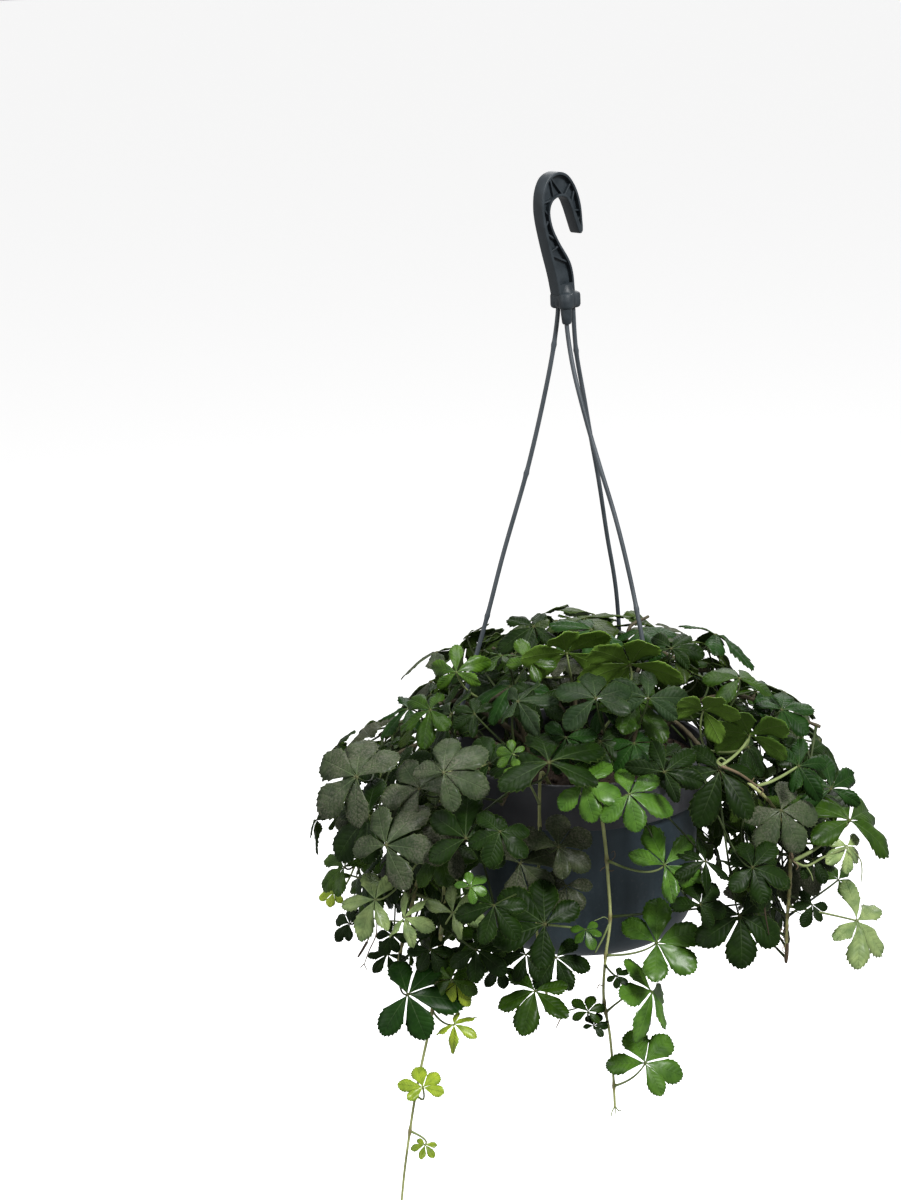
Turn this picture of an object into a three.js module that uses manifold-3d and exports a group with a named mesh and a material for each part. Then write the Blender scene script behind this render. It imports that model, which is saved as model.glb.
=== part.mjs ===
// A miniature grape ivy in a hanging pot: pot, soil, three-strand hanger with a hook, and leafy stems.
// Millimetres, +Z up. The origin is the saddle inside the hook's bow, where the hook hangs.

import * as THREE from 'three';
import { mergeVertices } from 'three/addons/utils/BufferGeometryUtils.js';
import Module from 'manifold-3d';

const wasm = await Module();
wasm.setup();

// Driving dimensions of the pot
const AXIS_X = 2.5;
const RIM_TOP = -321;
const RIM_RADIUS = 75;
const RIM_BAND = 27;
const BODY_RADIUS = 69.5;
const BODY_LOW_RADIUS = 66.5;
const BASE_RADIUS = 49;
const POT_HEIGHT = 113;
const WALL = 1.8;
const POT_SIDES = 32;
const DRAIN_HOLES = 6;
const DRAIN_RADIUS = 3.5;
const DRAIN_CIRCLE = 32;

// The lugs on the rim and the strands that button into them
const LUG_AZIMUTHS = [186, 306, 66];
const LUG_CIRCLE = 78;
const LUG_THICK = 3.2;
const LUG_WIDTH = 9;
const LUG_DROP = 2;
const LUG_HOLE = 2.1;
const STRAND_RADIUS = 1.3;
const BUTTON_RADIUS = 2.8;
const BUTTON_LENGTH = 2.6;
const GAP = 0.3;

// The hook with its three-lobed crown
const HOOK_TURN = 37;
const HOOK_THICK = 8.5;
const HOOK_WEB = 2.6;
const HOOK_FLANGE = 1.5;
const HOOK_RIB = 1.1;
const CROWN_AZIMUTHS = [150, 270, 30];
const CROWN_TOP = -54;
const CROWN_BOTTOM = -62;
const CROWN_CIRCLE = 4.9;
const LOBE_RADIUS = 4.4;
const PEG_BOTTOM = -71;
const SOCKET_DEPTH = 5;
const SOCKET_RADIUS = 1.9;

// The soil
const SOIL_TOP = RIM_TOP - 13;
const SOIL_LUMP = 1.6;
const STEM_RADIUS = 1.5;
const ROOT_DEPTH = 16;
const STEM_HOLE = 2.1;

// The leaves
const LEAF_THICK = 1.6;
const RIB_RISE = 0.05;
const LEAF_DROOP = 0.22;
const PETIOLE_HALF = 0.6;
const PETIOLE_STEPS = 2;
const LEAFLET_TURNS = [-116, -58, 0, 58, 116];
const LEAFLET_REACH = [0.8, 0.96, 1, 0.96, 0.8];

// The viewpoint from which the leaves are placed by their pixels
const EYE = new THREE.Vector3(-69.5, -1400, 148);
const EYE_PITCH = THREE.MathUtils.degToRad(15.1);
const EYE_ROLL = THREE.MathUtils.degToRad(2.5);
const FOCAL_PIXELS = 2500;
const CENTRE_PIXEL = [450.5, 600];

const rad = THREE.MathUtils.degToRad;
const polar = (azimuth, radius, z) => {
  const a = rad(azimuth);
  return new THREE.Vector3(AXIS_X + radius * Math.cos(a), radius * Math.sin(a), z);
};

function rayThrough([px, py]) {
  const dx = px - CENTRE_PIXEL[0];
  const dy = py - CENTRE_PIXEL[1];
  const a = (Math.cos(EYE_ROLL) * dx - Math.sin(EYE_ROLL) * dy) / FOCAL_PIXELS;
  const b = -(Math.sin(EYE_ROLL) * dx + Math.cos(EYE_ROLL) * dy) / FOCAL_PIXELS;
  const c = Math.cos(EYE_PITCH);
  const s = Math.sin(EYE_PITCH);
  return new THREE.Vector3(a, c + b * s, b * c - s).normalize();
}

function pointAt(pixel, y) {
  const ray = rayThrough(pixel);
  return EYE.clone().addScaledVector(ray, (y - EYE.y) / ray.y);
}

// Solids: a closed geometry becomes a manifold, turned inside out if its faces point in

function solid(geometry) {
  let g = geometry.clone();
  g.deleteAttribute('normal');
  g.deleteAttribute('uv');
  g = mergeVertices(g, 1e-4);
  const points = g.attributes.position;
  const index = Array.from(g.index.array);
  const [a, b, c] = [new THREE.Vector3(), new THREE.Vector3(), new THREE.Vector3()];
  let volume = 0;
  const kept = [];
  for (let i = 0; i < index.length; i += 3) {
    const [p, q, r] = index.slice(i, i + 3);
    if (p === q || q === r || r === p) continue;
    kept.push(p, q, r);
    a.fromBufferAttribute(points, p);
    b.fromBufferAttribute(points, q);
    c.fromBufferAttribute(points, r);
    volume += a.dot(b.cross(c));
  }
  if (volume < 0) {
    for (let i = 0; i < kept.length; i += 3) {
      [kept[i], kept[i + 1]] = [kept[i + 1], kept[i]];
    }
  }
  return new wasm.Manifold(new wasm.Mesh({
    numProp: 3,
    vertProperties: new Float32Array(points.array),
    triVerts: new Uint32Array(kept),
  }));
}

function geometryOf(body) {
  const mesh = body.getMesh();
  const g = new THREE.BufferGeometry();
  const points = new Float32Array(mesh.numVert * 3);
  for (let i = 0; i < mesh.numVert; i += 1) {
    for (let k = 0; k < 3; k += 1) {
      points[3 * i + k] = mesh.vertProperties[mesh.numProp * i + k];
    }
  }
  g.setAttribute('position', new THREE.BufferAttribute(points, 3));
  g.setIndex(new THREE.BufferAttribute(new Uint32Array(mesh.triVerts), 1));
  g.computeVertexNormals();
  return g;
}

const joined = (bodies) => bodies.reduce((whole, body) => whole.add(body));

// A round limb with a ring at each point. The radii are spread evenly along it.
function limb(points, radii, sides) {
  const steps = points.length - 1;
  const position = [];
  const index = [];
  let across = new THREE.Vector3(0.31, -0.87, 0.38);
  points.forEach((centre, i) => {
    const tangent = points[Math.min(i + 1, steps)].clone().sub(points[Math.max(i - 1, 0)]).normalize();
    across = across.clone().addScaledVector(tangent, -across.dot(tangent)).normalize();
    const beside = tangent.clone().cross(across);
    const along = (i / steps) * (radii.length - 1);
    const low = Math.min(Math.floor(along), radii.length - 2);
    const radius = THREE.MathUtils.lerp(radii[low], radii[low + 1], along - low);
    for (let k = 0; k < sides; k += 1) {
      const turn = (2 * Math.PI * k) / sides;
      const p = centre.clone()
        .addScaledVector(across, radius * Math.cos(turn))
        .addScaledVector(beside, radius * Math.sin(turn));
      position.push(p.x, p.y, p.z);
    }
  });
  for (let i = 0; i < steps; i += 1) {
    for (let k = 0; k < sides; k += 1) {
      const a = i * sides + k;
      const b = i * sides + ((k + 1) % sides);
      index.push(a, b, b + sides, a, b + sides, a + sides);
    }
  }
  const last = steps * sides;
  for (let k = 1; k < sides - 1; k += 1) {
    index.push(0, k + 1, k);
    index.push(last, last + k, last + k + 1);
  }
  const g = new THREE.BufferGeometry();
  g.setAttribute('position', new THREE.Float32BufferAttribute(position, 3));
  g.setIndex(index);
  return g;
}

// The strands' routes, through points seen in the photograph, from crown to lug

const STRAND_PIXELS = [
  [[554, 344], [546, 388], [528, 467], [503, 555], [487, 617], [472, 670]],
  [[573, 367], [587, 423], [600, 467], [616, 520], [631, 582], [648, 670]],
  [[576, 350], [584, 397], [591, 438], [598, 476], [607, 535], [616, 590]],
];
const strandTop = (i) => (i === 1 ? PEG_BOTTOM : CROWN_BOTTOM) + SOCKET_DEPTH - GAP;

function strandRoute(i) {
  const top = polar(CROWN_AZIMUTHS[i], CROWN_CIRCLE, strandTop(i));
  const throat = top.clone().add(new THREE.Vector3(0, 0, -SOCKET_DEPTH - 1));
  const lug = polar(LUG_AZIMUTHS[i], LUG_CIRCLE, RIM_TOP - LUG_DROP);
  const route = [top, throat];
  for (const pixel of STRAND_PIXELS[i]) {
    const guess = pointAt(pixel, throat.y);
    const share = (throat.z - guess.z) / (throat.z - lug.z);
    route.push(pointAt(pixel, THREE.MathUtils.lerp(throat.y, lug.y, share)));
  }
  const last = route[route.length - 1];
  const approach = lug.clone().sub(last).normalize();
  route.push(lug.clone().addScaledVector(approach, -8), lug.clone().addScaledVector(approach, 4));
  return { route, lug, approach };
}

function strandBody(i) {
  const { route, lug, approach } = strandRoute(i);
  const tube = solid(limb(route, [STRAND_RADIUS, STRAND_RADIUS], 8));
  const from = lug.clone().addScaledVector(approach, (LUG_THICK / 2 + GAP) / -approach.z);
  const heights = [0, -0.5 * BUTTON_LENGTH, -BUTTON_LENGTH];
  const middles = heights.map((z) => from.clone().add(new THREE.Vector3(0, 0, z)));
  const button = limb(middles, [BUTTON_RADIUS, BUTTON_RADIUS, STRAND_RADIUS], 8);
  return tube.add(solid(button));
}

// The pot: a stepped shell turned about its axis, with a band below the rim, lugs and drain holes

function turned(profile, sides) {
  const points = profile.map(([r, z]) => new THREE.Vector2(r, z));
  const g = new THREE.LatheGeometry(points, sides);
  g.rotateX(Math.PI / 2);
  g.translate(AXIS_X, 0, 0);
  return solid(g);
}

const BASE_Z = RIM_TOP - POT_HEIGHT;
const BAND_Z = RIM_TOP - RIM_BAND;
const CORNER = [
  [BODY_LOW_RADIUS, BASE_Z + 27],
  [BODY_LOW_RADIUS - 2, BASE_Z + 14],
  [BODY_LOW_RADIUS - 6.5, BASE_Z + 6],
  [BODY_LOW_RADIUS - 11.5, BASE_Z + 2],
  [BASE_RADIUS, BASE_Z],
];

function lugShape() {
  const shape = new THREE.Shape();
  const half = LUG_WIDTH / 2;
  shape.moveTo(RIM_RADIUS - 3, -half - 3);
  shape.lineTo(LUG_CIRCLE, -half);
  shape.absarc(LUG_CIRCLE, 0, half, -Math.PI / 2, Math.PI / 2, false);
  shape.lineTo(RIM_RADIUS - 3, half + 3);
  shape.closePath();
  return shape;
}

function potBody() {
  const outer = [
    [RIM_RADIUS, RIM_TOP],
    [RIM_RADIUS - 0.5, BAND_Z],
    [BODY_RADIUS, BAND_Z - 1],
    ...CORNER,
  ];
  const inner = [
    [BASE_RADIUS - 1, BASE_Z + WALL],
    [BODY_LOW_RADIUS - 8.6, BASE_Z + 6 + WALL],
    [BODY_LOW_RADIUS - WALL - 1.2, BASE_Z + 20],
    [BODY_RADIUS - WALL, BAND_Z - 1],
    [RIM_RADIUS - 1.2 - WALL, BAND_Z + WALL],
    [RIM_RADIUS - 0.6 - WALL, RIM_TOP],
  ];
  let pot = turned([[0, BASE_Z + WALL], ...inner, ...outer, [0, BASE_Z], [0, BASE_Z + WALL]], POT_SIDES);
  LUG_AZIMUTHS.forEach((azimuth, i) => {
    const g = new THREE.ExtrudeGeometry(lugShape(), {
      depth: LUG_THICK, bevelEnabled: false, curveSegments: 4,
    });
    g.rotateZ(THREE.MathUtils.degToRad(azimuth));
    g.translate(AXIS_X, 0, RIM_TOP - LUG_DROP - LUG_THICK / 2);
    pot = pot.add(solid(g));
    const { lug, approach } = strandRoute(i);
    const ends = [-6, 0, 6].map((d) => lug.clone().addScaledVector(approach, d));
    pot = pot.subtract(solid(limb(ends, [LUG_HOLE, LUG_HOLE], 8)));
  });
  for (let i = 0; i < DRAIN_HOLES; i += 1) {
    const g = new THREE.CylinderGeometry(DRAIN_RADIUS, DRAIN_RADIUS, 8, 8);
    g.rotateX(Math.PI / 2);
    const at = polar((360 * i) / DRAIN_HOLES + 30, DRAIN_CIRCLE, BASE_Z);
    g.translate(at.x, at.y, at.z);
    pot = pot.subtract(solid(g));
  }
  return pot;
}

// The hook: an I-section bow and shank with zigzag ribs in its web, on a crown of three lobes.
// Its outline is drawn in its own plane, u across and w up, from the saddle.

const HOOK_BACK = [
  [-4.2, -55], [-6.4, -44.2], [-11, -27.4], [-14.5, -11.7], [-15, -4.5], [-13.8, 4], [-9.8, 10.9],
  [-3, 13.7], [3.4, 12.2], [9.2, 5.6], [13, -4.6], [14.3, -17.5],
];
const HOOK_TIP = [[13.4, -21], [11.4, -21.2]];
const HOOK_POCKET_END = [[14, -13.5], [9, -14]];
const HOOK_INSIDE = [
  [6.4, -7.5], [3.4, -1.6], [0, 0], [-4, -0.5], [-7.2, -2.6], [-9, -7.5],
  [-7.6, -16], [-3.6, -24.1], [4.2, -36.4], [6.2, -43], [7.2, -55],
];

function slab(outline, thick) {
  const shape = new THREE.Shape(outline.map(([u, w]) => new THREE.Vector2(u, w)));
  const g = new THREE.ExtrudeGeometry(shape, { depth: thick, bevelEnabled: false });
  g.translate(0, 0, -thick / 2);
  return solid(g);
}

// The outline moved inwards by a distance, along the bisector at each corner
function inset(outline, distance) {
  return outline.map((here, i) => {
    const before = outline[(i + outline.length - 1) % outline.length];
    const after = outline[(i + 1) % outline.length];
    const a = new THREE.Vector2(here[0] - before[0], here[1] - before[1]).normalize();
    const b = new THREE.Vector2(after[0] - here[0], after[1] - here[1]).normalize();
    const normal = new THREE.Vector2(a.y + b.y, -a.x - b.x).normalize();
    const scale = distance / Math.max(0.5, normal.x * a.y - normal.y * a.x);
    return [here[0] + normal.x * scale, here[1] + normal.y * scale];
  });
}

// Pairs of points on the back and the inside, between which the ribs run to and fro
const HOOK_RIBS = [
  [[6, -38], [-10, -31]], [[-10, -31], [-1, -26]], [[-1, -26], [-13.5, -18]], [[-13.5, -18], [-8.5, -11]],
  [[-8.5, -11], [-15, -3]], [[-6.5, -1], [-8, 12]], [[-8, 12], [2, 0]], [[2, 0], [8, 8]], [[6, -8], [14, -9]],
];

function hookBody() {
  const outline = [...HOOK_BACK, ...HOOK_TIP, ...HOOK_INSIDE];
  const whole = slab(outline, HOOK_THICK);
  const hollowed = [...HOOK_BACK.slice(0, -1), ...HOOK_POCKET_END, ...HOOK_INSIDE];
  const pocket = slab(inset(hollowed, HOOK_FLANGE), HOOK_THICK + 2);
  const web = slab(outline, HOOK_WEB);
  const ribs = HOOK_RIBS.map(([from, to]) => {
    const [a, b] = [new THREE.Vector2(...from), new THREE.Vector2(...to)];
    const length = a.distanceTo(b);
    const g = new THREE.BoxGeometry(length, HOOK_RIB, HOOK_THICK - 1.4);
    g.rotateZ(Math.atan2(b.y - a.y, b.x - a.x));
    g.translate((a.x + b.x) / 2, (a.y + b.y) / 2, 0);
    return solid(g).intersect(whole);
  });
  let hook = whole.subtract(pocket).add(web);
  hook = joined([hook, ...ribs]);
  const foot = slab([[-4.2, -54.5], [-3.6, -46], [6.4, -46], [7.2, -54.5]], HOOK_THICK);
  hook = hook.add(foot);
  const turn = THREE.MathUtils.degToRad(HOOK_TURN);
  const [c, s] = [Math.cos(turn), Math.sin(turn)];
  hook = hook.transform([c, s, 0, 0, 0, 0, 1, 0, s, -c, 0, 0, 0, 0, 0, 1]);
  let crown = turned([
    [0, CROWN_TOP], [5.4, CROWN_TOP], [6.6, CROWN_TOP - 2], [6.6, CROWN_BOTTOM + 1],
    [5.8, CROWN_BOTTOM], [0, CROWN_BOTTOM], [0, CROWN_TOP],
  ], 24);
  CROWN_AZIMUTHS.forEach((azimuth, i) => {
    const axis = polar(azimuth, CROWN_CIRCLE, 0);
    const heights = [CROWN_TOP + 0.5, CROWN_TOP - 1, CROWN_BOTTOM + 0.5, CROWN_BOTTOM - 0.5];
    const lobe = heights.map((z) => new THREE.Vector3(axis.x, axis.y, z));
    crown = crown.add(solid(limb(lobe, [2.6, LOBE_RADIUS, LOBE_RADIUS, 3.2], 10)));
    if (i === 1) {
      const peg = [CROWN_BOTTOM + 1, -66, PEG_BOTTOM].map((z) => new THREE.Vector3(axis.x, axis.y, z));
      crown = crown.add(solid(limb(peg, [3, 2.9, 2.6], 10)));
    }
  });
  hook = hook.add(crown);
  CROWN_AZIMUTHS.forEach((azimuth, i) => {
    const axis = polar(azimuth, CROWN_CIRCLE, 0);
    const low = strandTop(i) - SOCKET_DEPTH - 2;
    const socket = [strandTop(i) + GAP, low].map((z) => new THREE.Vector3(axis.x, axis.y, z));
    hook = hook.subtract(solid(limb(socket, [SOCKET_RADIUS, SOCKET_RADIUS], 8)));
  });
  return hook;
}

// The soil fills the pot to below the rim. Its top is uneven, and each stem stands in a plain hole.

const soilRise = (x, y) => SOIL_LUMP * (
  0.6 * Math.sin(0.21 * x + 1.3) * Math.cos(0.17 * y) + 0.4 * Math.sin(0.43 * x - 0.37 * y)
);

function soilBody(roots) {
  const edge = RIM_RADIUS - 1.2 - WALL - GAP - 0.2;
  const rings = [24, 46].map((r) => [r, SOIL_TOP]);
  const profile = [
    [0, SOIL_TOP], ...rings, [edge, SOIL_TOP], [edge, BAND_Z + WALL + GAP + 0.2],
    [BODY_RADIUS - WALL - GAP - 0.3, BAND_Z - 0.8], [BODY_LOW_RADIUS - WALL - 1.8, BASE_Z + 20.5],
    [BODY_LOW_RADIUS - 9.3, BASE_Z + 6.5 + WALL], [BASE_RADIUS - 2, BASE_Z + WALL + GAP + 0.2],
    [0, BASE_Z + WALL + GAP + 0.2], [0, SOIL_TOP],
  ];
  const g = new THREE.LatheGeometry(profile.map(([r, z]) => new THREE.Vector2(r, z)), 24);
  g.rotateX(Math.PI / 2);
  const points = g.attributes.position;
  for (let i = 0; i < points.count; i += 1) {
    const [x, y, z] = [points.getX(i), points.getY(i), points.getZ(i)];
    if (Math.abs(z - SOIL_TOP) < 0.01) points.setZ(i, z + soilRise(x, y));
  }
  g.translate(AXIS_X, 0, 0);
  let soil = solid(g);
  for (const root of roots) {
    const ends = [SOIL_TOP - ROOT_DEPTH - GAP, SOIL_TOP + 6].map((z) => new THREE.Vector3(root.x, root.y, z));
    soil = soil.subtract(solid(limb(ends, [STEM_HOLE, STEM_HOLE], 6)));
  }
  return soil;
}

// Stems. A cutting's three stems fork from one root: each has its turn from the cutting's azimuth, its
// reach from the axis, the height it climbs to and how far its tip drops. A runner climbs over the rim.

const CUTTINGS = [
  { name: 'cutting_front', azimuth: 266,
    stems: [[-24, 104, -300, 24], [16, 96, -292, 20], [-4, 40, -262, 4]] },
  { name: 'cutting_right', azimuth: 330,
    stems: [[-20, 118, -292, 22], [14, 142, -286, 18], [0, 70, -258, 6]] },
  { name: 'cutting_back_right', azimuth: 32,
    stems: [[-14, 120, -286, 26], [20, 104, -282, 28], [4, 56, -250, 4]] },
  { name: 'cutting_back', azimuth: 92,
    stems: [[-22, 108, -290, 28], [22, 108, -294, 26], [0, 48, -256, 4]] },
  { name: 'cutting_back_left', azimuth: 150,
    stems: [[-18, 112, -292, 26], [16, 122, -298, 22], [0, 56, -262, 6]] },
  { name: 'cutting_left', azimuth: 208,
    stems: [[-16, 126, -304, 18], [18, 110, -306, 24], [0, 62, -276, 8]] },
];
const ROOT_CIRCLE = 34;

// A runner's route: root azimuth, then pixels with their depth y
const RUNNERS = [
  { name: 'runner_front', azimuth: 272, route: [
    [602, 817, -93], [607, 866, -91], [610, 921, -91], [603, 986, -92], [611, 1044, -92], [615, 1108, -92]] },
  { name: 'runner_front_left', azimuth: 250, route: [
    [540, 850, -93], [536, 905, -95], [540, 960, -94], [548, 1000, -92]] },
  { name: 'runner_left', azimuth: 222, route: [
    [450, 840, -82], [442, 923, -84], [431, 1019, -84], [416, 1092, -84], [403, 1184, -84],
    [401, 1208, -84]] },
  { name: 'runner_far_left', azimuth: 204, route: [
    [424, 850, -62], [415, 893, -70], [406, 927, -72], [396, 975, -72]] },
  { name: 'runner_right', azimuth: 322, route: [
    [732, 772, -86], [760, 792, -84], [786, 830, -78], [790, 875, -76], [786, 937, -76], [786, 962, -76]] },
];

// The leaves that the photograph shows: hub, tip of the middle leaflet, how far the blade leans to the
// right and up from facing the viewer (a third value of -1 shows its underside), how far it is drawn
// nearer, and the runner that it grows on.
const SEEN_LEAVES = [
  [[629, 795], [673, 808], [0.1, 0.5], 28, 'runner_front'],
  [[671, 650], [690, 629], [0.2, 1.2], 8],
  [[358, 778], [315, 757], [-0.5, 0.5], 0],
  [[444, 774], [488, 744], [-0.2, 0.6], 14],
  [[387, 846], [421, 800], [-0.4, 0.4], 6],
  [[466, 839], [470, 787], [-0.1, 0.3], 0],
  [[520, 864], [562, 850], [0, 0.3], 0, 'runner_front_left'],
  [[558, 848], [592, 830], [0.1, 0.5], 8, 'runner_front_left'],
  [[549, 765], [546, 722], [0, 1.2], 0],
  [[518, 703], [562, 700], [-0.1, 1.1], 0],
  [[545, 925], [496, 893], [0, 0.3], 16, 'runner_front_left'],
  [[535, 992], [523, 1027], [0, 0.7], 8, 'runner_front_left'],
  [[408, 995], [463, 1001], [-0.1, 0.3], 24, 'runner_far_left'],
  [[664, 773], [697, 745], [0.2, 0.5], 0],
  [[719, 771], [702, 818], [0.3, 0.4], 4],
  [[780, 811], [808, 853], [0.4, 0.3], 4, 'runner_right'],
  [[739, 916], [745, 963], [0.3, 0.2], 0],
  [[583, 785], [623, 796], [0, 0.5], 12, 'runner_front'],
  [[664, 866], [700, 835], [0.3, 0.4], 4, 'runner_front'],
  [[656, 944], [704, 927], [0.2, 0.5], 6, 'runner_front'],
  [[650, 992], [645, 1036], [1.3, 0.3], 0, 'runner_front'],
  [[645, 1064], [673, 1030], [0.1, 0.4], 4, 'runner_front'],
  [[457, 673], [457, 639], [-0.3, 0.5], 0],
  [[530, 663], [548, 640], [0, 0.5], 0],
  [[567, 655], [560, 622], [-0.15, 1.5, -1], 0],
  [[431, 711], [395, 722], [-0.4, 0.8], 0],
  [[739, 680], [717, 657], [0.4, 1.5], 0],
  [[703, 712], [722, 688], [0.2, 1.2, -1], 0],
  [[749, 737], [738, 703], [0.3, 1.3, -1], 0],
  [[781, 711], [815, 707], [0.5, 1.1], 0],
  [[798, 767], [834, 762], [0.5, 0.5], 6],
  [[848, 822], [884, 794], [0.7, 0.7], 8, 'runner_right'],
  [[855, 921], [886, 962], [1, 0.2], 8, 'runner_right'],
  [[454, 1025], [478, 1038], [0, 0.5], 4, 'runner_left'],
  [[423, 1088], [416, 1064], [0, 0.4], 4, 'runner_left'],
  [[425, 1145], [419, 1158], [0, 0.4], 2, 'runner_left'],
  [[334, 893], [318, 899], [-0.5, 0.8], 0],
  [[405, 918], [437, 928], [-0.3, 0.3], 4, 'runner_far_left'],
  [[453, 913], [485, 889], [-0.1, 0.3], 4, 'runner_left'],
  [[376, 900], [340, 901], [-0.5, 0.4], 0],
  [[345, 868], [325, 850], [-0.5, 0.6], -6],
  [[350, 924], [332, 916], [-0.5, 0.4], -8],
  [[388, 955], [372, 975], [-0.3, 0.3], -8],
  [[501, 968], [485, 984], [-0.1, 0.3], -6],
  [[588, 1012], [592, 992], [0, 0.4], 0, 'runner_front'],
  [[705, 862], [672, 880], [0.2, 0.4], -8],
  [[752, 868], [792, 880], [0.3, 0.4], -4],
  [[700, 905], [720, 880], [0.2, 0.3], -14],
  [[648, 700], [652, 664], [0.2, 0.9], 0],
  [[596, 700], [590, 664], [0, 0.9], 0],
  [[630, 667], [588, 638], [0.1, 1.5, -1], 0],
  [[420, 790], [398, 760], [-0.4, 0.6], -14],
  [[490, 765], [478, 735], [-0.1, 0.8], -6],
  [[475, 715], [452, 706], [-0.3, 1.1], -4],
  [[812, 860], [840, 862], [0.5, 0.4], -6],
  [[830, 790], [822, 748], [0.5, 0.6], -8],
];

// The rest of the crown, round the back and over the top, by a rule
const HIDDEN_LEAVES = 29;
const GOLDEN_SHARE = 0.618034;
const BACK_START = -12;
const BACK_SWEEP = 204;
const TOP_SHARE = 0.74;
const BACK_INSET = 20;
const BACK_HEIGHT = 100;
const BACK_SLOUCH = 0.2;

// The outer form of the foliage: a dome over the rim that narrows into a hanging skirt
const DOME_RADIUS = 165;
const DOME_LEVEL = -345;
const DOME_HEIGHT = 112;
const SKIRT_RADIUS = 104;
const SKIRT_DROP = 120;
const DEPTH_SHARE = 0.92;

function foliageRadius(z) {
  if (z > DOME_LEVEL) {
    const share = (z - DOME_LEVEL) / DOME_HEIGHT;
    return DOME_RADIUS * Math.sqrt(Math.max(0, 1 - share * share));
  }
  const share = Math.min(1, (DOME_LEVEL - z) / SKIRT_DROP);
  return THREE.MathUtils.lerp(DOME_RADIUS, SKIRT_RADIUS, share * share * (3 - 2 * share));
}

const insideFoliage = (p) => Math.hypot(p.x - AXIS_X, p.y / DEPTH_SHARE) < foliageRadius(p.z);

// Where the sight line through a pixel first meets the foliage
function foliageDepth(pixel) {
  for (let y = -150; y < 60; y += 2) {
    if (insideFoliage(pointAt(pixel, y))) return y;
  }
  return -20;
}

// Stem routes as sampled points, each with the node that it belongs to

const STEM_SIDES = 5;
const STEM_STEP = 24;

const stemPath = (points) => new THREE.CatmullRomCurve3(points, false, 'centripetal');

function stemRings([root, neck, ...rest]) {
  const path = stemPath([neck, ...rest]);
  return [root, ...path.getSpacedPoints(Math.max(3, Math.round(path.getLength() / STEM_STEP)))];
}

function cuttingStems() {
  const stems = [];
  for (const { name, azimuth, stems: list } of CUTTINGS) {
    const root = polar(azimuth, ROOT_CIRCLE, SOIL_TOP - ROOT_DEPTH);
    const neck = polar(azimuth, ROOT_CIRCLE, SOIL_TOP + 9);
    for (const [turn, reach, height, drop] of list) {
      const bend = polar(azimuth + 0.8 * turn, ROOT_CIRCLE + 0.45 * (reach - ROOT_CIRCLE), height);
      const end = polar(azimuth + turn, reach, height - drop);
      const rings = stemRings([root, neck, bend, end]);
      stems.push({ node: name, root, rings, radii: [STEM_RADIUS, 1.3, 0.9] });
    }
  }
  return stems;
}

const RUNNER_ROOT_CIRCLE = 56;
const RUNNER_CREST = RIM_TOP + 7;

function runnerStems() {
  return RUNNERS.map(({ name, azimuth, route }) => {
    const root = polar(azimuth, RUNNER_ROOT_CIRCLE, SOIL_TOP - ROOT_DEPTH);
    const neck = polar(azimuth, RUNNER_ROOT_CIRCLE, SOIL_TOP + 5);
    const crest = polar(azimuth, RIM_RADIUS + 1, RUNNER_CREST);
    const seen = route.map(([px, py, y]) => pointAt([px, py], y));
    const rings = stemRings([root, neck, crest, ...seen]);
    return { node: name, root, rings, radii: [STEM_RADIUS, 1.2, 1] };
  });
}

// Leaves. Each has a hub, a normal, the way its middle leaflet points, a length and its own sliding line.

const SMALL_LEAF = 22;

function seenLeaf([hubPixel, tipPixel, lean, nearer, node]) {
  const depth = node ? runnerDepth(node, hubPixel) : foliageDepth(hubPixel);
  const toEye = rayThrough(hubPixel).negate();
  const right = new THREE.Vector3(1, 0, 0);
  const above = right.clone().cross(toEye).negate().normalize();
  const hub = pointAt(hubPixel, depth).addScaledVector(toEye, nearer);
  const normal = toEye.clone().multiplyScalar(lean[2] ?? 1)
    .addScaledVector(right, lean[0]).addScaledVector(above, lean[1]).normalize();
  const tipRay = rayThrough(tipPixel);
  const reach = hub.clone().sub(EYE).dot(normal) / tipRay.dot(normal);
  const tip = EYE.clone().addScaledVector(tipRay, reach);
  const forward = tip.sub(hub);
  const length = THREE.MathUtils.clamp(forward.length(), 8, 40);
  const fine = nearer >= 0 && length > SMALL_LEAF;
  return { hub, normal, forward: forward.normalize(), length, slide: toEye, node, fine };
}

function runnerDepth(node, [, py]) {
  const { route } = RUNNERS.find((runner) => runner.name === node);
  const passed = route.findIndex((point) => point[1] > py);
  const low = passed < 0 ? route.length - 1 : Math.max(passed, 1);
  const [a, b] = [route[low - 1], route[low]];
  const share = THREE.MathUtils.clamp((py - a[1]) / (b[1] - a[1]), 0, 1);
  return THREE.MathUtils.lerp(a[2], b[2], share) - 10;
}

// The same draws on every run
function drawer(seed) {
  let state = seed;
  return () => {
    state = (state * 16807) % 2147483647;
    return state / 2147483647;
  };
}

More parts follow.
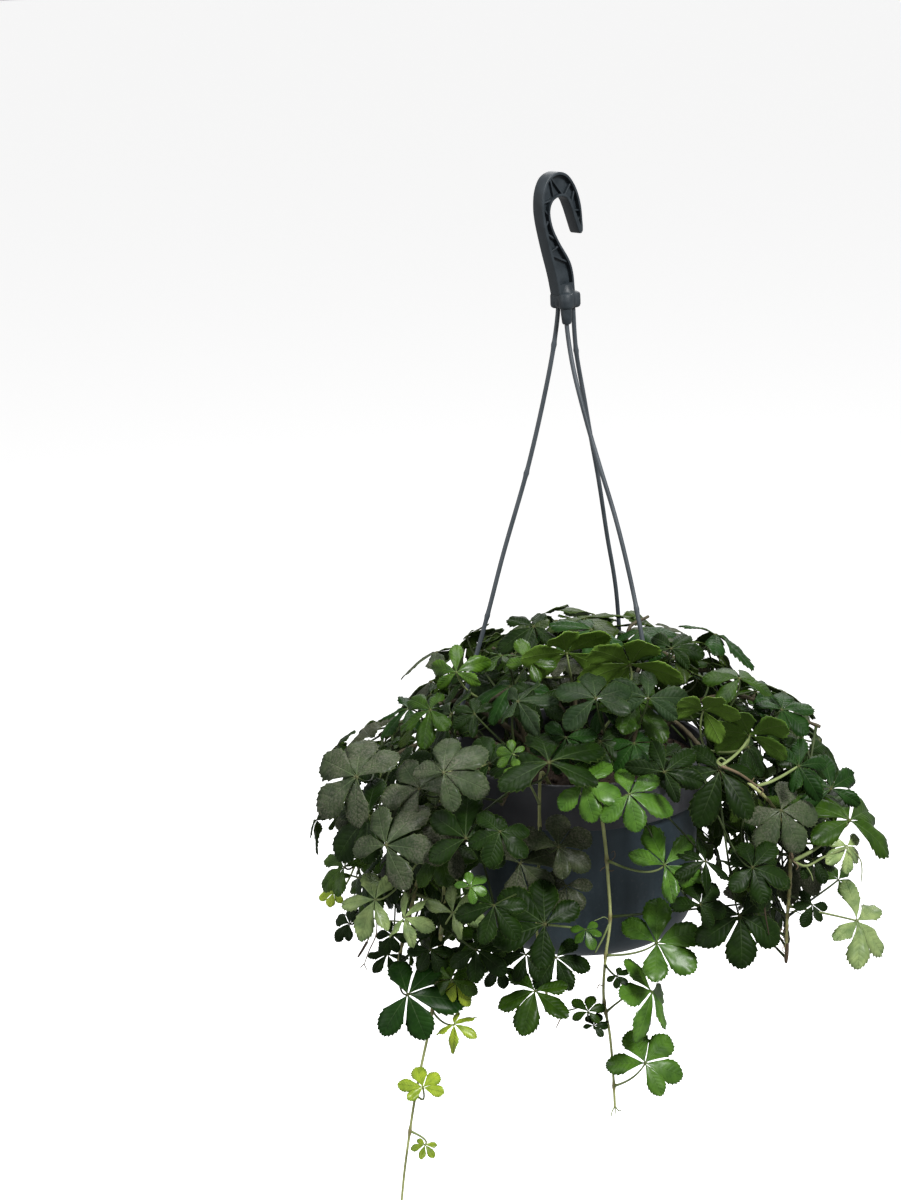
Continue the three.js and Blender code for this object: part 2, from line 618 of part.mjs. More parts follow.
function hiddenLeaves() {
  const draw = drawer(77);
  const leaves = [];
  for (let i = 0; i < HIDDEN_LEAVES; i += 1) {
    const share = (i + 0.5) / HIDDEN_LEAVES;
    const azimuth = BACK_START + (share > TOP_SHARE ? 360 : BACK_SWEEP) * ((i * GOLDEN_SHARE) % 1);
    const rise = Math.asin(THREE.MathUtils.lerp(-0.45, 0.98, share));
    const z = DOME_LEVEL + (rise > 0 ? BACK_HEIGHT : SKIRT_DROP) * Math.sin(rise) - 6 * draw();
    const flatter = 1 - (1 - DEPTH_SHARE) * Math.abs(Math.sin(rad(azimuth)));
    const radius = (foliageRadius(z) - BACK_INSET - 12 * draw()) * flatter;
    const hub = polar(azimuth, Math.max(12, radius), z);
    hub.z -= BACK_SLOUCH * Math.max(0, hub.y) * Math.max(0, Math.sin(rise));
    const outward = hub.clone().sub(new THREE.Vector3(AXIS_X, 0, DOME_LEVEL - 30)).normalize();
    const normal = outward.clone().add(new THREE.Vector3(0, 0, 0.5)).normalize();
    const down = new THREE.Vector3(0.4 * (draw() - 0.5), draw() - 0.5, -1);
    const forward = down.addScaledVector(normal, -down.dot(normal)).normalize();
    leaves.push({ hub, normal, forward, length: 25 + 8 * draw(), slide: outward, fine: false });
  }
  return leaves;
}

const LEAFLET_HALF = [[0.56, 0.275], [0.64, 0.232], [0.86, 0.18]];
const SMALL_LEAFLET_HALF = [[0.6, 0.27], [0.86, 0.18]];
const PROBES = [0.5, 0.92];

function leafPoint(leaf, turn, reach, side, rise) {
  const across = leaf.forward.clone().cross(leaf.normal);
  const angle = THREE.MathUtils.degToRad(turn);
  const [c, s] = [Math.cos(angle), Math.sin(angle)];
  const along = leaf.forward.clone().multiplyScalar(c).addScaledVector(across, s);
  const beside = leaf.forward.clone().multiplyScalar(-s).addScaledVector(across, c);
  const height = rise - LEAF_DROOP * leaf.length * reach * reach;
  return leaf.hub.clone()
    .addScaledVector(along, reach * leaf.length)
    .addScaledVector(beside, side * leaf.length)
    .addScaledVector(leaf.normal, height);
}

function probesOf(leaf) {
  const probes = [leaf.hub.clone()];
  LEAFLET_TURNS.forEach((turn, k) => {
    for (const reach of PROBES) probes.push(leafPoint(leaf, turn, reach * LEAFLET_REACH[k], 0, 0));
  });
  return probes;
}

// Leaves that would touch ease apart, each along its own line, and stay clear of pot and strands
const EASE_ROUNDS = 40;
const EASE_SPACE = 8;
const EASE_STEP = 1.6;
const EASE_LIMIT = 26;
const POT_CLEAR = 6;
const POT_PUSH = 3;

function strandProbes() {
  const probes = [];
  for (let i = 0; i < STRAND_PIXELS.length; i += 1) {
    const path = stemPath(strandRoute(i).route);
    for (let k = 0; k <= 40; k += 1) probes.push(path.getPointAt(0.55 + 0.45 * (k / 40)));
  }
  return probes;
}

function easeApart(leaves) {
  const strands = strandProbes();
  const moved = leaves.map(() => 0);
  for (let round = 0; round < EASE_ROUNDS; round += 1) {
    const probes = leaves.map(probesOf);
    const steps = leaves.map((leaf, i) => {
      let push = 0;
      for (let j = 0; j < leaves.length; j += 1) {
        const reach = leaf.length + leaves[j].length + EASE_SPACE;
        if (j === i || leaf.hub.distanceTo(leaves[j].hub) > reach) continue;
        const side = leaf.hub.clone().sub(leaves[j].hub).dot(leaf.slide) >= 0 ? 1 : -1;
        for (const p of probes[i]) {
          for (const q of probes[j]) push += side * Math.max(0, 1 - p.distanceTo(q) / EASE_SPACE);
        }
      }
      for (const p of probes[i]) {
        for (const q of strands) {
          const side = leaf.hub.clone().sub(q).dot(leaf.slide) >= 0 ? 1 : -1;
          push += side * Math.max(0, 1 - p.distanceTo(q) / EASE_SPACE);
        }
        const nearPot = Math.hypot(p.x - AXIS_X, p.y) < RIM_RADIUS + POT_CLEAR && p.z < RIM_TOP + POT_CLEAR;
        if (nearPot) push += POT_PUSH;
      }
      return THREE.MathUtils.clamp(push, -EASE_STEP, EASE_STEP);
    });
    leaves.forEach((leaf, i) => {
      const next = THREE.MathUtils.clamp(moved[i] + steps[i], -EASE_LIMIT, EASE_LIMIT);
      leaf.hub.addScaledVector(leaf.slide, next - moved[i]);
      moved[i] = next;
    });
  }
}

// One closed leaf: a thin arched blade with five toothed leaflets cut to the ribs, and its petiole.
// The two faces share the margin, and the petiole grows out of a square round the hub's underside.
function leafBody(leaf, seat, bow) {
  const points = [];
  const index = [];
  const add = (p) => points.push(p) - 1;
  const rib = (k, rise) => leafPoint(leaf, LEAFLET_TURNS[k], 0.55 * LEAFLET_REACH[k], 0, rise);
  const rise = RIB_RISE * leaf.length;
  const top = add(leafPoint(leaf, 0, 0, 0, rise));
  const cleftTurns = [-146, -87, -29, 29, 87, 146];
  const clefts = cleftTurns.map((turn) => add(leafPoint(leaf, turn, 0.12, 0, 0)));
  const upper = LEAFLET_TURNS.map((turn, k) => add(rib(k, rise)));
  const lower = LEAFLET_TURNS.map((turn, k) => add(rib(k, rise - LEAF_THICK)));
  LEAFLET_TURNS.forEach((turn, k) => {
    const scale = LEAFLET_REACH[k];
    const plain = !leaf.fine || Math.abs(turn) > 100;
    const outline = plain ? SMALL_LEAFLET_HALF : LEAFLET_HALF;
    const half = (sign) => outline.map(([reach, side]) => (
      add(leafPoint(leaf, turn, reach * scale, sign * side * scale, 0))
    ));
    const left = half(-1);
    const tip = add(leafPoint(leaf, turn, scale, 0, 0));
    const right = half(1).reverse();
    const margin = [clefts[k], ...left, tip, ...right, clefts[k + 1]];
    for (let i = 0; i + 1 < margin.length; i += 1) {
      index.push(upper[k], margin[i + 1], margin[i]);
      index.push(lower[k], margin[i], margin[i + 1]);
    }
    index.push(upper[k], margin[0], top, upper[k], top, margin[margin.length - 1]);
  });
  index.push(top, clefts[0], clefts[5]);

  const start = leaf.hub.clone().addScaledVector(leaf.normal, rise - LEAF_THICK);
  const bend = start.clone().addScaledVector(leaf.normal, -bow[0]).addScaledVector(leaf.forward, -bow[1]);
  const path = new THREE.QuadraticBezierCurve3(start, bend, seat);
  let across = leaf.forward.clone().cross(leaf.normal);
  let ahead = leaf.forward.clone();
  const rings = [];
  const steps = PETIOLE_STEPS;
  for (let i = 0; i <= steps; i += 1) {
    if (i > 0) {
      const tangent = path.getTangent(i / steps).negate();
      across = across.addScaledVector(tangent, -across.dot(tangent)).normalize();
      ahead = tangent.clone().cross(across);
    }
    const centre = path.getPoint(i / steps);
    const square = [[-PETIOLE_HALF, -PETIOLE_HALF], [-PETIOLE_HALF, PETIOLE_HALF],
      [PETIOLE_HALF, PETIOLE_HALF], [PETIOLE_HALF, -PETIOLE_HALF]];
    rings.push(square.map(([u, v]) => (
      add(centre.clone().addScaledVector(across, u).addScaledVector(ahead, v))
    )));
  }
  const [b0, b1, b2, b3] = rings[0];
  const loop = [
    [clefts[0], lower[0], b0], [lower[0], clefts[1], b0], [clefts[1], lower[1], b1],
    [lower[1], clefts[2], b1], [clefts[2], lower[2], b1], [lower[2], clefts[3], b2],
    [clefts[3], lower[3], b2], [lower[3], clefts[4], b2], [clefts[4], lower[4], b3],
    [lower[4], clefts[5], b3], [clefts[5], clefts[0], b3],
  ];
  for (const [a, b, ring] of loop) index.push(ring, a, b);
  index.push(b0, clefts[1], b1, b1, lower[2], b2, b2, clefts[4], b3, b3, clefts[0], b0);
  for (let i = 0; i < steps; i += 1) {
    for (let k = 0; k < 4; k += 1) {
      const [p, q] = [rings[i][k], rings[i][(k + 1) % 4]];
      const [r, t] = [rings[i + 1][k], rings[i + 1][(k + 1) % 4]];
      index.push(p, q, t, p, t, r);
    }
  }
  const end = rings[steps];
  index.push(end[0], end[1], end[2], end[0], end[2], end[3]);
  const g = new THREE.BufferGeometry();
  g.setAttribute('position', new THREE.Float32BufferAttribute(points.flatMap((p) => [p.x, p.y, p.z]), 3));
  g.setIndex(index);
  return solid(g);
}

// Assembly. Stems go in first; then each leaf takes the first place and petiole that cross nothing of
// another node, and is fused to its own stem.

const SHIFTS = [0, 4, -4, 8, -8, 12, -12];
const BOWS = [[10, 8], [18, 4], [6, 14], [26, -4], [4, -12]];
const CROSSING = 0.002;

const crosses = (a, b) => {
  const [p, q] = [a.boundingBox(), b.boundingBox()];
  for (let k = 0; k < 3; k += 1) {
    if (p.min[k] > q.max[k] || q.min[k] > p.max[k]) return false;
  }
  return a.intersect(b).volume() > CROSSING;
};

// Seats for petioles lie on the straight runs between a stem's rings, on its middle line
function stemSeats(stems) {
  const seats = [];
  for (const { node, rings } of stems) {
    for (let i = 1; i + 1 < rings.length; i += 1) {
      for (const share of [0.15, 0.4, 0.65, 0.9]) {
        seats.push({ at: rings[i].clone().lerp(rings[i + 1], share), node });
      }
    }
  }
  return seats.filter(({ at }) => at.z > SOIL_TOP + 8 || Math.hypot(at.x - AXIS_X, at.y) > RIM_RADIUS + 5);
}

// The best seats for a leaf's petiole: near the usual petiole length, on the inner side of the blade
function seatsFor(leaf, seats) {
  const ideal = leaf.length * 1.1;
  return seats
    .filter(({ node, taken }) => !taken && (leaf.node ? node === leaf.node : node.startsWith('cutting')))
    .map((seat) => {
      const away = seat.at.clone().sub(leaf.hub);
      const behind = away.dot(leaf.normal) / away.length();
      return { seat, cost: Math.abs(away.length() - ideal) + 14 * Math.max(0, behind + 0.1) };
    })
    .sort((a, b) => a.cost - b.cost)
    .slice(0, 3)
    .map(({ seat }) => seat);
}

const fixed = new Map();
fixed.set('pot', potBody());
fixed.set('hanger_hook', hookBody());
['strand_left', 'strand_front', 'strand_back'].forEach((name, i) => fixed.set(name, strandBody(i)));

const stems = [...cuttingStems(), ...runnerStems()];
const roots = stems.map(({ root }) => root);
fixed.set('soil', soilBody(roots.filter((root, i) => i === 0 || !root.equals(roots[i - 1]))));

const growing = new Map();
for (const { node, rings, radii } of stems) {
  const body = solid(limb(rings, radii, STEM_SIDES));
  if (!growing.has(node)) growing.set(node, { stems: [], leaves: [] });
  growing.get(node).stems.push(body);
}

const leaves = [...SEEN_LEAVES.map(seenLeaf), ...hiddenLeaves()];
easeApart(leaves);
const seats = stemSeats(stems);

function clearOfOthers(body, node, apart) {
  for (const other of fixed.values()) {
    if (crosses(body, other)) return false;
  }
  for (const [name, plant] of growing) {
    const others = name === node ? [] : [...plant.stems];
    if (name !== node || apart) others.push(...plant.leaves);
    if (others.some((other) => crosses(body, other))) return false;
  }
  return true;
}

function placeLeaf(leaf, apart) {
  for (const shift of SHIFTS) {
    const moved = { ...leaf, hub: leaf.hub.clone().addScaledVector(leaf.slide, shift) };
    for (const seat of seatsFor(moved, seats)) {
      for (const bow of BOWS) {
        const body = leafBody(moved, seat.at, bow);
        if (clearOfOthers(body, seat.node, apart)) {
          growing.get(seat.node).leaves.push(body);
          seat.taken = true;
          return true;
        }
      }
    }
  }
  return false;
}

for (const leaf of leaves) {
  const placed = placeLeaf(leaf, true) || placeLeaf(leaf, false);
  if (!placed) throw new Error('a leaf has no clear place');
}

const group = new THREE.Group();
const PLASTIC = new THREE.MeshStandardMaterial({ color: 0x2c323c, roughness: 0.45, metalness: 0 });
const STRAND_PLASTIC = new THREE.MeshStandardMaterial({ color: 0x4b525a, roughness: 0.5, metalness: 0 });
const EARTH = new THREE.MeshStandardMaterial({ color: 0x2e2019, roughness: 0.95, metalness: 0 });
const LEAF = new THREE.MeshStandardMaterial({ color: 0x2c4a22, roughness: 0.5, metalness: 0 });

const finishOf = (name) => {
  if (name === 'soil') return EARTH;
  if (name.startsWith('strand')) return STRAND_PLASTIC;
  return name === 'pot' || name === 'hanger_hook' ? PLASTIC : LEAF;
};
function addPiece(name, body) {
  const mesh = new THREE.Mesh(geometryOf(body), finishOf(name));
  mesh.name = name;
  group.add(mesh);
}
fixed.forEach((body, name) => addPiece(name, body));
growing.forEach((plant, name) => addPiece(name, joined([...plant.stems, ...plant.leaves])));

export default group;
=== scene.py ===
# A miniature grape ivy in a dark plastic pot, which hangs by three strands from a moulded hook.
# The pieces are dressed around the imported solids, in metres. The origin is where the hook hangs.
import math

import bpy
import numpy as np
from mathutils import Matrix, Vector, noise


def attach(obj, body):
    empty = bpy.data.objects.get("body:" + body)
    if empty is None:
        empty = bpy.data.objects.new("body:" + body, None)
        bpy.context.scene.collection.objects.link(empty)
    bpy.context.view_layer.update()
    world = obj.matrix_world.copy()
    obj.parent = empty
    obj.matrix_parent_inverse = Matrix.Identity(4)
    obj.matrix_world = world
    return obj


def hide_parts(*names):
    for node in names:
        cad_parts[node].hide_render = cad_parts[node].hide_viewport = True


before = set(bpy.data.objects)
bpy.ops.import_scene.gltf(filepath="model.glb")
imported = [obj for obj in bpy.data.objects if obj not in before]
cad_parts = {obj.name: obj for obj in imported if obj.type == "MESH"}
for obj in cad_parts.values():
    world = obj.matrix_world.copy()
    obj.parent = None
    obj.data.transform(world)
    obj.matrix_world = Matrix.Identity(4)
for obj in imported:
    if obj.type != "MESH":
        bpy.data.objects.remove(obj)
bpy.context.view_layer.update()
MM = 0.001

# The camera stands where the photograph was taken from. The plant's routes and leaves are placed along
# its sight lines, by the pixel of the 901 by 1200 photograph that they show at and a depth in mm.
EYE = np.array([-69.5, -1400.0, 148.0])
EYE_PITCH = math.radians(15.1)
EYE_ROLL = math.radians(2.5)
FOCAL_PIXELS = 2500
CENTRE_PIXEL = (450.5, 600)
LENS = 75
SENSOR = 36
CLIP_END = 200

camera = bpy.data.objects.new("camera", bpy.data.cameras.new("camera"))
bpy.context.collection.objects.link(camera)
camera.data.lens = LENS
camera.data.sensor_width = SENSOR
camera.data.clip_end = CLIP_END
looking = Matrix.Rotation(math.pi / 2 - EYE_PITCH, 4, "X") @ Matrix.Rotation(-EYE_ROLL, 4, "Z")
camera.matrix_world = Matrix.Translation(Vector(EYE * MM)) @ looking
bpy.context.scene.camera = camera


def ray_through(pixel):
    """The sight line that leaves the eye through a pixel, at a length of one."""
    dx = pixel[0] - CENTRE_PIXEL[0]
    dy = pixel[1] - CENTRE_PIXEL[1]
    a = (math.cos(EYE_ROLL) * dx - math.sin(EYE_ROLL) * dy) / FOCAL_PIXELS
    b = -(math.sin(EYE_ROLL) * dx + math.cos(EYE_ROLL) * dy) / FOCAL_PIXELS
    c, s = math.cos(EYE_PITCH), math.sin(EYE_PITCH)
    ray = np.array([a, c + b * s, b * c - s])
    return ray / np.linalg.norm(ray)


def point_at(pixel, y):
    """The place in mm where the sight line through a pixel reaches the depth y."""
    ray = ray_through(pixel)
    return EYE + ray * ((y - EYE[1]) / ray[1])


# Finishes are built from nodes. A wire is one node's output, and sums and products on it add Math nodes,
# so that a finish reads as what it mixes.
class Wire:
    def __init__(self, finish, socket):
        self.finish = finish
        self.socket = socket

    def maths(self, operation, *values):
        return self.finish.node("ShaderNodeMath", {"operation": operation}, dict(enumerate(values)))

    def __add__(self, other):
        return self.maths("ADD", self, other)

    def __sub__(self, other):
        return self.maths("SUBTRACT", self, other)

    def __rsub__(self, other):
        return self.maths("SUBTRACT", other, self)

    def __mul__(self, other):
        return self.maths("MULTIPLY", self, other)

    def __abs__(self):
        return self.maths("ABSOLUTE", self)

    def sine(self):
        return self.maths("SINE", self)

    def clamped(self, low, high):
        """0 at low and 1 at high, straight between them."""
        sockets = {"Value": self, "From Min": low, "From Max": high}
        return self.finish.node("ShaderNodeMapRange", {"clamp": True}, sockets)

    __radd__ = __add__
    __rmul__ = __mul__


class Finish:
    def __init__(self, name, roughness=0.5, specular=0.5):
        self.material = bpy.data.materials.new(name)
        self.material.use_nodes = True
        self.tree = self.material.node_tree
        self.shader = self.tree.nodes["Principled BSDF"]
        self.shader.inputs["Roughness"].default_value = roughness
        self.shader.inputs["Specular IOR Level"].default_value = specular

    def node(self, kind, settings=None, sockets=None, out=0):
        """Any node: its settings come first, and then a value or a wire for each of its sockets."""
        made = self.tree.nodes.new(kind)
        for key, value in (settings or {}).items():
            setattr(made, key, value)
        for key, value in (sockets or {}).items():
            self.feed(made.inputs[key], value)
        return Wire(self, made.outputs[out])

    def feed(self, socket, value):
        if isinstance(value, Wire):
            self.tree.links.new(value.socket, socket)
        else:
            socket.default_value = value

    def place(self):
        """Object coordinates: metres in the frame, because every piece's object is at the origin."""
        return self.node("ShaderNodeTexCoord", out="Object")

    def noise(self, scale, detail=2, vector=None):
        sockets = {"Scale": scale, "Detail": detail, "Vector": vector or self.place()}
        return self.node("ShaderNodeTexNoise", None, sockets)

    def mix(self, factor, a, b, blend="MIX"):
        settings = {"data_type": "RGBA", "blend_type": blend}
        return self.node("ShaderNodeMix", settings, {0: factor, 6: a, 7: b}, out=2)

    def varied(self, pattern, dark, light, low=0.3, high=0.7):
        """From dark to light as the pattern goes from low to high."""
        return self.mix(pattern.clamped(low, high), dark, light)

    def colour(self, value):
        self.feed(self.shader.inputs["Base Color"], value)

    def rough(self, value):
        self.feed(self.shader.inputs["Roughness"], value)

    def bump(self, height, distance):
        sockets = {"Strength": 1.0, "Distance": distance, "Height": height}
        self.feed(self.shader.inputs["Normal"], self.node("ShaderNodeBump", None, sockets))


# The studio is a white floor far below the pot, a pale sky all round, and four soft lamps. The floor
# glows a little, and it throws no light back up at the plant.
FLOOR_Z = -1.15
FLOOR_SIZE = 120
FLOOR_GLOW = 0.4
SKY = 0.55

bpy.ops.object.select_all(action="DESELECT")
bpy.ops.mesh.primitive_plane_add(size=FLOOR_SIZE, location=(0, 0, FLOOR_Z))
floor = bpy.context.object
floor.name = "floor"
pale = Finish("floor_pale", roughness=0.9, specular=0.1)
pale.colour((0.95, 0.95, 0.95, 1))
pale.shader.inputs["Emission Color"].default_value = (1, 1, 1, 1)
pale.shader.inputs["Emission Strength"].default_value = FLOOR_GLOW
floor.data.materials.append(pale.material)
floor.visible_diffuse = False
floor.visible_glossy = False

world = bpy.data.worlds.new("studio")
world.use_nodes = True
world.node_tree.nodes["Background"].inputs["Color"].default_value = (1, 1, 1, 1)
world.node_tree.nodes["Background"].inputs["Strength"].default_value = SKY
bpy.context.scene.world = world

LAMPS = [
    ("key", (1.0, -1.5, 1.3), 0.5, 92),
    ("top", (-0.2, 0.2, 1.9), 1.0, 34),
    ("side", (-1.9, -0.9, 0.5), 1.2, 16),
    ("behind", (0.4, 1.9, 0.9), 1.4, 24),
]
AIM = Vector((0, 0, -0.34))
for name, place, size, power in LAMPS:
    lamp = bpy.data.objects.new(name, bpy.data.lights.new(name, "AREA"))
    bpy.context.collection.objects.link(lamp)
    lamp.data.size = size
    lamp.data.energy = power
    lamp.location = place
    lamp.rotation_euler = (AIM - Vector(place)).to_track_quat("-Z", "Y").to_euler()
bpy.context.scene.view_settings.view_transform = "Standard"


# The pot is one thin moulded shell of dark slate plastic: a rim band with a rolled lip, a body that
# tapers to a rounded corner, three lugs that the strands button into, and drain holes.
AXIS = Vector((0.0025, 0, 0))
RIM_TOP = -0.321
RIM_RADIUS = 0.075
BAND_Z = RIM_TOP - 0.027
BODY_RADIUS = 0.0695
BODY_LOW_RADIUS = 0.0665
BASE_RADIUS = 0.049
BASE_Z = RIM_TOP - 0.113
WALL = 0.0018
LIP = 0.0009
POT_SIDES = 144
LUG_AZIMUTHS = [186, 306, 66]
LUG_CIRCLE = 0.078
LUG_INSET = 0.001
LUG_RADIUS = 0.0045
LUG_STRETCH = 0.0022
LUG_FLARE = 0.7
LUG_THICK = 0.0032
LUG_HOLE = 0.0021
LUG_HOLE_CUT = 0.02
LUG_Z = RIM_TOP - 0.002
STRAND_HEAD = (0.005, -0.067)
DRAIN_AZIMUTHS = [30, 90, 150, 210, 270, 330]
DRAIN_CIRCLE = 0.032
DRAIN_RADIUS = 0.0035
DRAIN_CUT = 0.008
AXIS_PATCH = 0.0006


def polar(azimuth, radius, z):
    """A place in metres, round the pot's axis."""
    a = math.radians(azimuth)
    return AXIS + Vector((radius * math.cos(a), radius * math.sin(a), z))


def plain_start():
    """Object mode with nothing selected, which is where each step of modelling starts."""
    if bpy.context.object and bpy.context.object.mode == "EDIT":
        bpy.ops.object.mode_set(mode="OBJECT")
    bpy.ops.object.select_all(action="DESELECT")


def chosen(*pieces):
    """Only these pieces are selected, and the first is active."""
    plain_start()
    for piece in pieces:
        piece.select_set(True)
    bpy.context.view_layer.objects.active = pieces[0]


def edit_all():
    """Edit mode, with the whole mesh selected."""
    bpy.ops.object.mode_set(mode="EDIT")
    bpy.ops.mesh.select_all(action="SELECT")


def settled(piece, angle=None):
    """The piece's place goes into its mesh, its faces point out, and it is shaded smooth."""
    chosen(piece)
    bpy.ops.object.transform_apply(location=True, rotation=True, scale=True)
    edit_all()
    bpy.ops.mesh.remove_doubles(threshold=1e-6)
    bpy.ops.mesh.normals_make_consistent(inside=False)
    bpy.ops.object.mode_set(mode="OBJECT")
    if angle is None:
        bpy.ops.object.shade_smooth()
    else:
        bpy.ops.object.shade_smooth_by_angle(angle=math.radians(angle))
    return piece


def modified(piece, kind, **settings):
    """The piece with a modifier of this kind applied."""
    chosen(piece)
    modifier = piece.modifiers.new(kind.lower(), kind)
    for key, value in settings.items():
        setattr(modifier, key, value)
    bpy.ops.object.modifier_apply(modifier=modifier.name)
    return piece


def cut(piece, tool, operation="DIFFERENCE"):
    """The piece less the tool, or joined or crossed with it, and the tool is used up."""
    modified(piece, "BOOLEAN", object=tool, operation=operation, solver="EXACT")
    bpy.data.objects.remove(tool)
    return piece


def cylinder(sides, radius, depth, middle):
    """A cylinder that stands on end, as a start for a lug or as a tool that cuts a hole."""
    plain_start()
    bpy.ops.mesh.primitive_cylinder_add(vertices=sides, radius=radius, depth=depth, location=middle)
    return bpy.context.object


def turned(name, profile, sides, middle=AXIS):
    """A solid turned about an upright axis: a small disc is drawn out along the profile, ring by ring."""
    plain_start()
    radius, z = profile[0]
    place = middle + Vector((0, 0, z))
    bpy.ops.mesh.primitive_circle_add(vertices=sides, radius=radius, fill_type="NGON", location=place)
    piece = bpy.context.object
    piece.name = name
    edit_all()
    for (r, z), (next_r, next_z) in zip(profile, profile[1:]):
        bpy.ops.mesh.extrude_region_move(TRANSFORM_OT_translate={"value": (0, 0, next_z - z)})
        scale = next_r / r
        centre = middle + Vector((0, 0, next_z))
        bpy.ops.transform.resize(value=(scale, scale, 1), center_override=centre)
    bpy.ops.object.mode_set(mode="OBJECT")
    return piece


def rounded(corner, radius, before, after, steps=4):
    """Points of a round corner between two neighbours of a profile's point."""
    corner, before, after = Vector(corner), Vector(before), Vector(after)
    start = corner + (before - corner).normalized() * radius
    end = corner + (after - corner).normalized() * radius
    points = []
    for k in range(steps + 1):
        t = k / steps
        points.append(tuple((1 - t) ** 2 * start + 2 * t * (1 - t) * corner + t * t * end))
    return points


outer_foot = [
    (BODY_LOW_RADIUS, BASE_Z + 0.027), (BODY_LOW_RADIUS - 0.0007, BASE_Z + 0.0195),
    (BODY_LOW_RADIUS - 0.002, BASE_Z + 0.014), (BODY_LOW_RADIUS - 0.004, BASE_Z + 0.0095),
    (BODY_LOW_RADIUS - 0.0065, BASE_Z + 0.006), (BODY_LOW_RADIUS - 0.009, BASE_Z + 0.0036),
    (BODY_LOW_RADIUS - 0.0118, BASE_Z + 0.0019),
]
lip_in, lip_out = (RIM_RADIUS - WALL - LIP, RIM_TOP), (RIM_RADIUS, RIM_TOP)
inside = (RIM_RADIUS - 0.0006 - WALL, RIM_TOP - 0.006)
band_low = (RIM_RADIUS - 0.0005, BAND_Z)
step_in = (BODY_RADIUS, BAND_Z - 0.001)
pot_profile = [
    (AXIS_PATCH, BASE_Z + WALL), (0.024, BASE_Z + WALL), (BASE_RADIUS - 0.001, BASE_Z + WALL),
    (BODY_LOW_RADIUS - 0.0086, BASE_Z + 0.006 + WALL),
    (BODY_LOW_RADIUS - WALL - 0.0012, BASE_Z + 0.02), (BODY_RADIUS - WALL, BAND_Z - 0.001),
    (RIM_RADIUS - 0.0012 - WALL, BAND_Z + WALL), inside,
    *rounded(lip_in, LIP * 0.9, inside, lip_out), *rounded(lip_out, LIP * 0.9, lip_in, band_low),
    (RIM_RADIUS - 0.0001, RIM_TOP - 0.004), (RIM_RADIUS - 0.0003, RIM_TOP - 0.0045),
    (RIM_RADIUS - 0.0004, RIM_TOP - 0.016),
    *rounded(band_low, 0.0006, (RIM_RADIUS - 0.0004, RIM_TOP), step_in, 3),
    *rounded(step_in, 0.0008, band_low, outer_foot[0], 3), (BODY_RADIUS - 0.001, BAND_Z - 0.02),
    *outer_foot, (BASE_RADIUS, BASE_Z), (BASE_RADIUS - 0.003, BASE_Z),
    (BASE_RADIUS - 0.0035, BASE_Z + 0.0006), (0.043, BASE_Z + 0.0006), (0.0425, BASE_Z),
    (0.024, BASE_Z), (AXIS_PATCH, BASE_Z),
]
pot = settled(turned("pot_shell", pot_profile, POT_SIDES))

for azimuth in LUG_AZIMUTHS:
    middle = polar(azimuth, LUG_CIRCLE - LUG_INSET, LUG_Z)
    lug = cylinder(40, LUG_RADIUS, LUG_THICK, middle)
    lug.rotation_euler.z = math.radians(azimuth)
    settled(lug)
    inward = -Vector((math.cos(math.radians(azimuth)), math.sin(math.radians(azimuth)), 0))
    # The lug reaches in and flares towards the rim that it grows from
    for vertex in lug.data.vertices:
        along = (vertex.co - middle).dot(inward)
        if along > 0:
            vertex.co += inward * LUG_STRETCH * along / LUG_RADIUS
            side = vertex.co - middle - inward * (vertex.co - middle).dot(inward)
            vertex.co += Vector((side.x, side.y, 0)) * LUG_FLARE * along / LUG_RADIUS
    modified(lug, "BEVEL", width=0.0005, segments=3, limit_method="ANGLE")
    cut(pot, lug, "UNION")
    hole_at = polar(azimuth, LUG_CIRCLE, LUG_Z)
    hole = cylinder(24, LUG_HOLE, LUG_HOLE_CUT, hole_at)
    tilt = Vector((0, 0, 1)).rotation_difference(polar(azimuth, *STRAND_HEAD) - hole_at)
    hole.rotation_euler = tilt.to_euler()
    cut(pot, settled(hole))
for azimuth in DRAIN_AZIMUTHS:
    cut(pot, settled(cylinder(28, DRAIN_RADIUS, DRAIN_CUT, polar(azimuth, DRAIN_CIRCLE, BASE_Z))))
settled(pot, angle=32)

# Slate plastic, a little dusty, with drips and scuffs down the body. The band is paler and a little purple:
# partly its own tone, partly a painted reflection
slate = Finish("pot_slate_plastic", roughness=0.42, specular=0.22)
where = slate.place()
height = slate.node("ShaderNodeSeparateXYZ", None, {0: where}, out=2)
on_band = height.clamped(BAND_Z - 0.0006, BAND_Z + 0.0004)
stretch = slate.node("ShaderNodeMapping", None, {"Vector": where, "Scale": (1, 1, 0.14)})
streaks = slate.noise(90, 5, stretch)
cloud = slate.noise(22, 4)
dust = slate.noise(420, 3).clamped(0.58, 0.78) * cloud.clamped(0.42, 0.7)
body_tint = slate.varied(streaks, (0.020, 0.032, 0.041, 1), (0.034, 0.050, 0.061, 1))
# The band's paler grey is partly the plastic's own tone and partly a painted reflection
band_tone_and_sheen = slate.varied(cloud, (0.036, 0.037, 0.042, 1), (0.062, 0.063, 0.070, 1), 0.35, 0.65)
tint = slate.mix(on_band, body_tint, band_tone_and_sheen)
slate.colour(slate.mix(dust * 0.5, tint, (0.085, 0.088, 0.095, 1)))
slate.rough(0.36 + cloud.clamped(0.3, 0.7) * 0.14 + dust * 0.2)
slate.bump(slate.noise(900, 2) * 0.4 + streaks * 0.6, 0.00012)
pot.data.materials.append(slate.material)
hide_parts("pot")
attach(pot, "root")


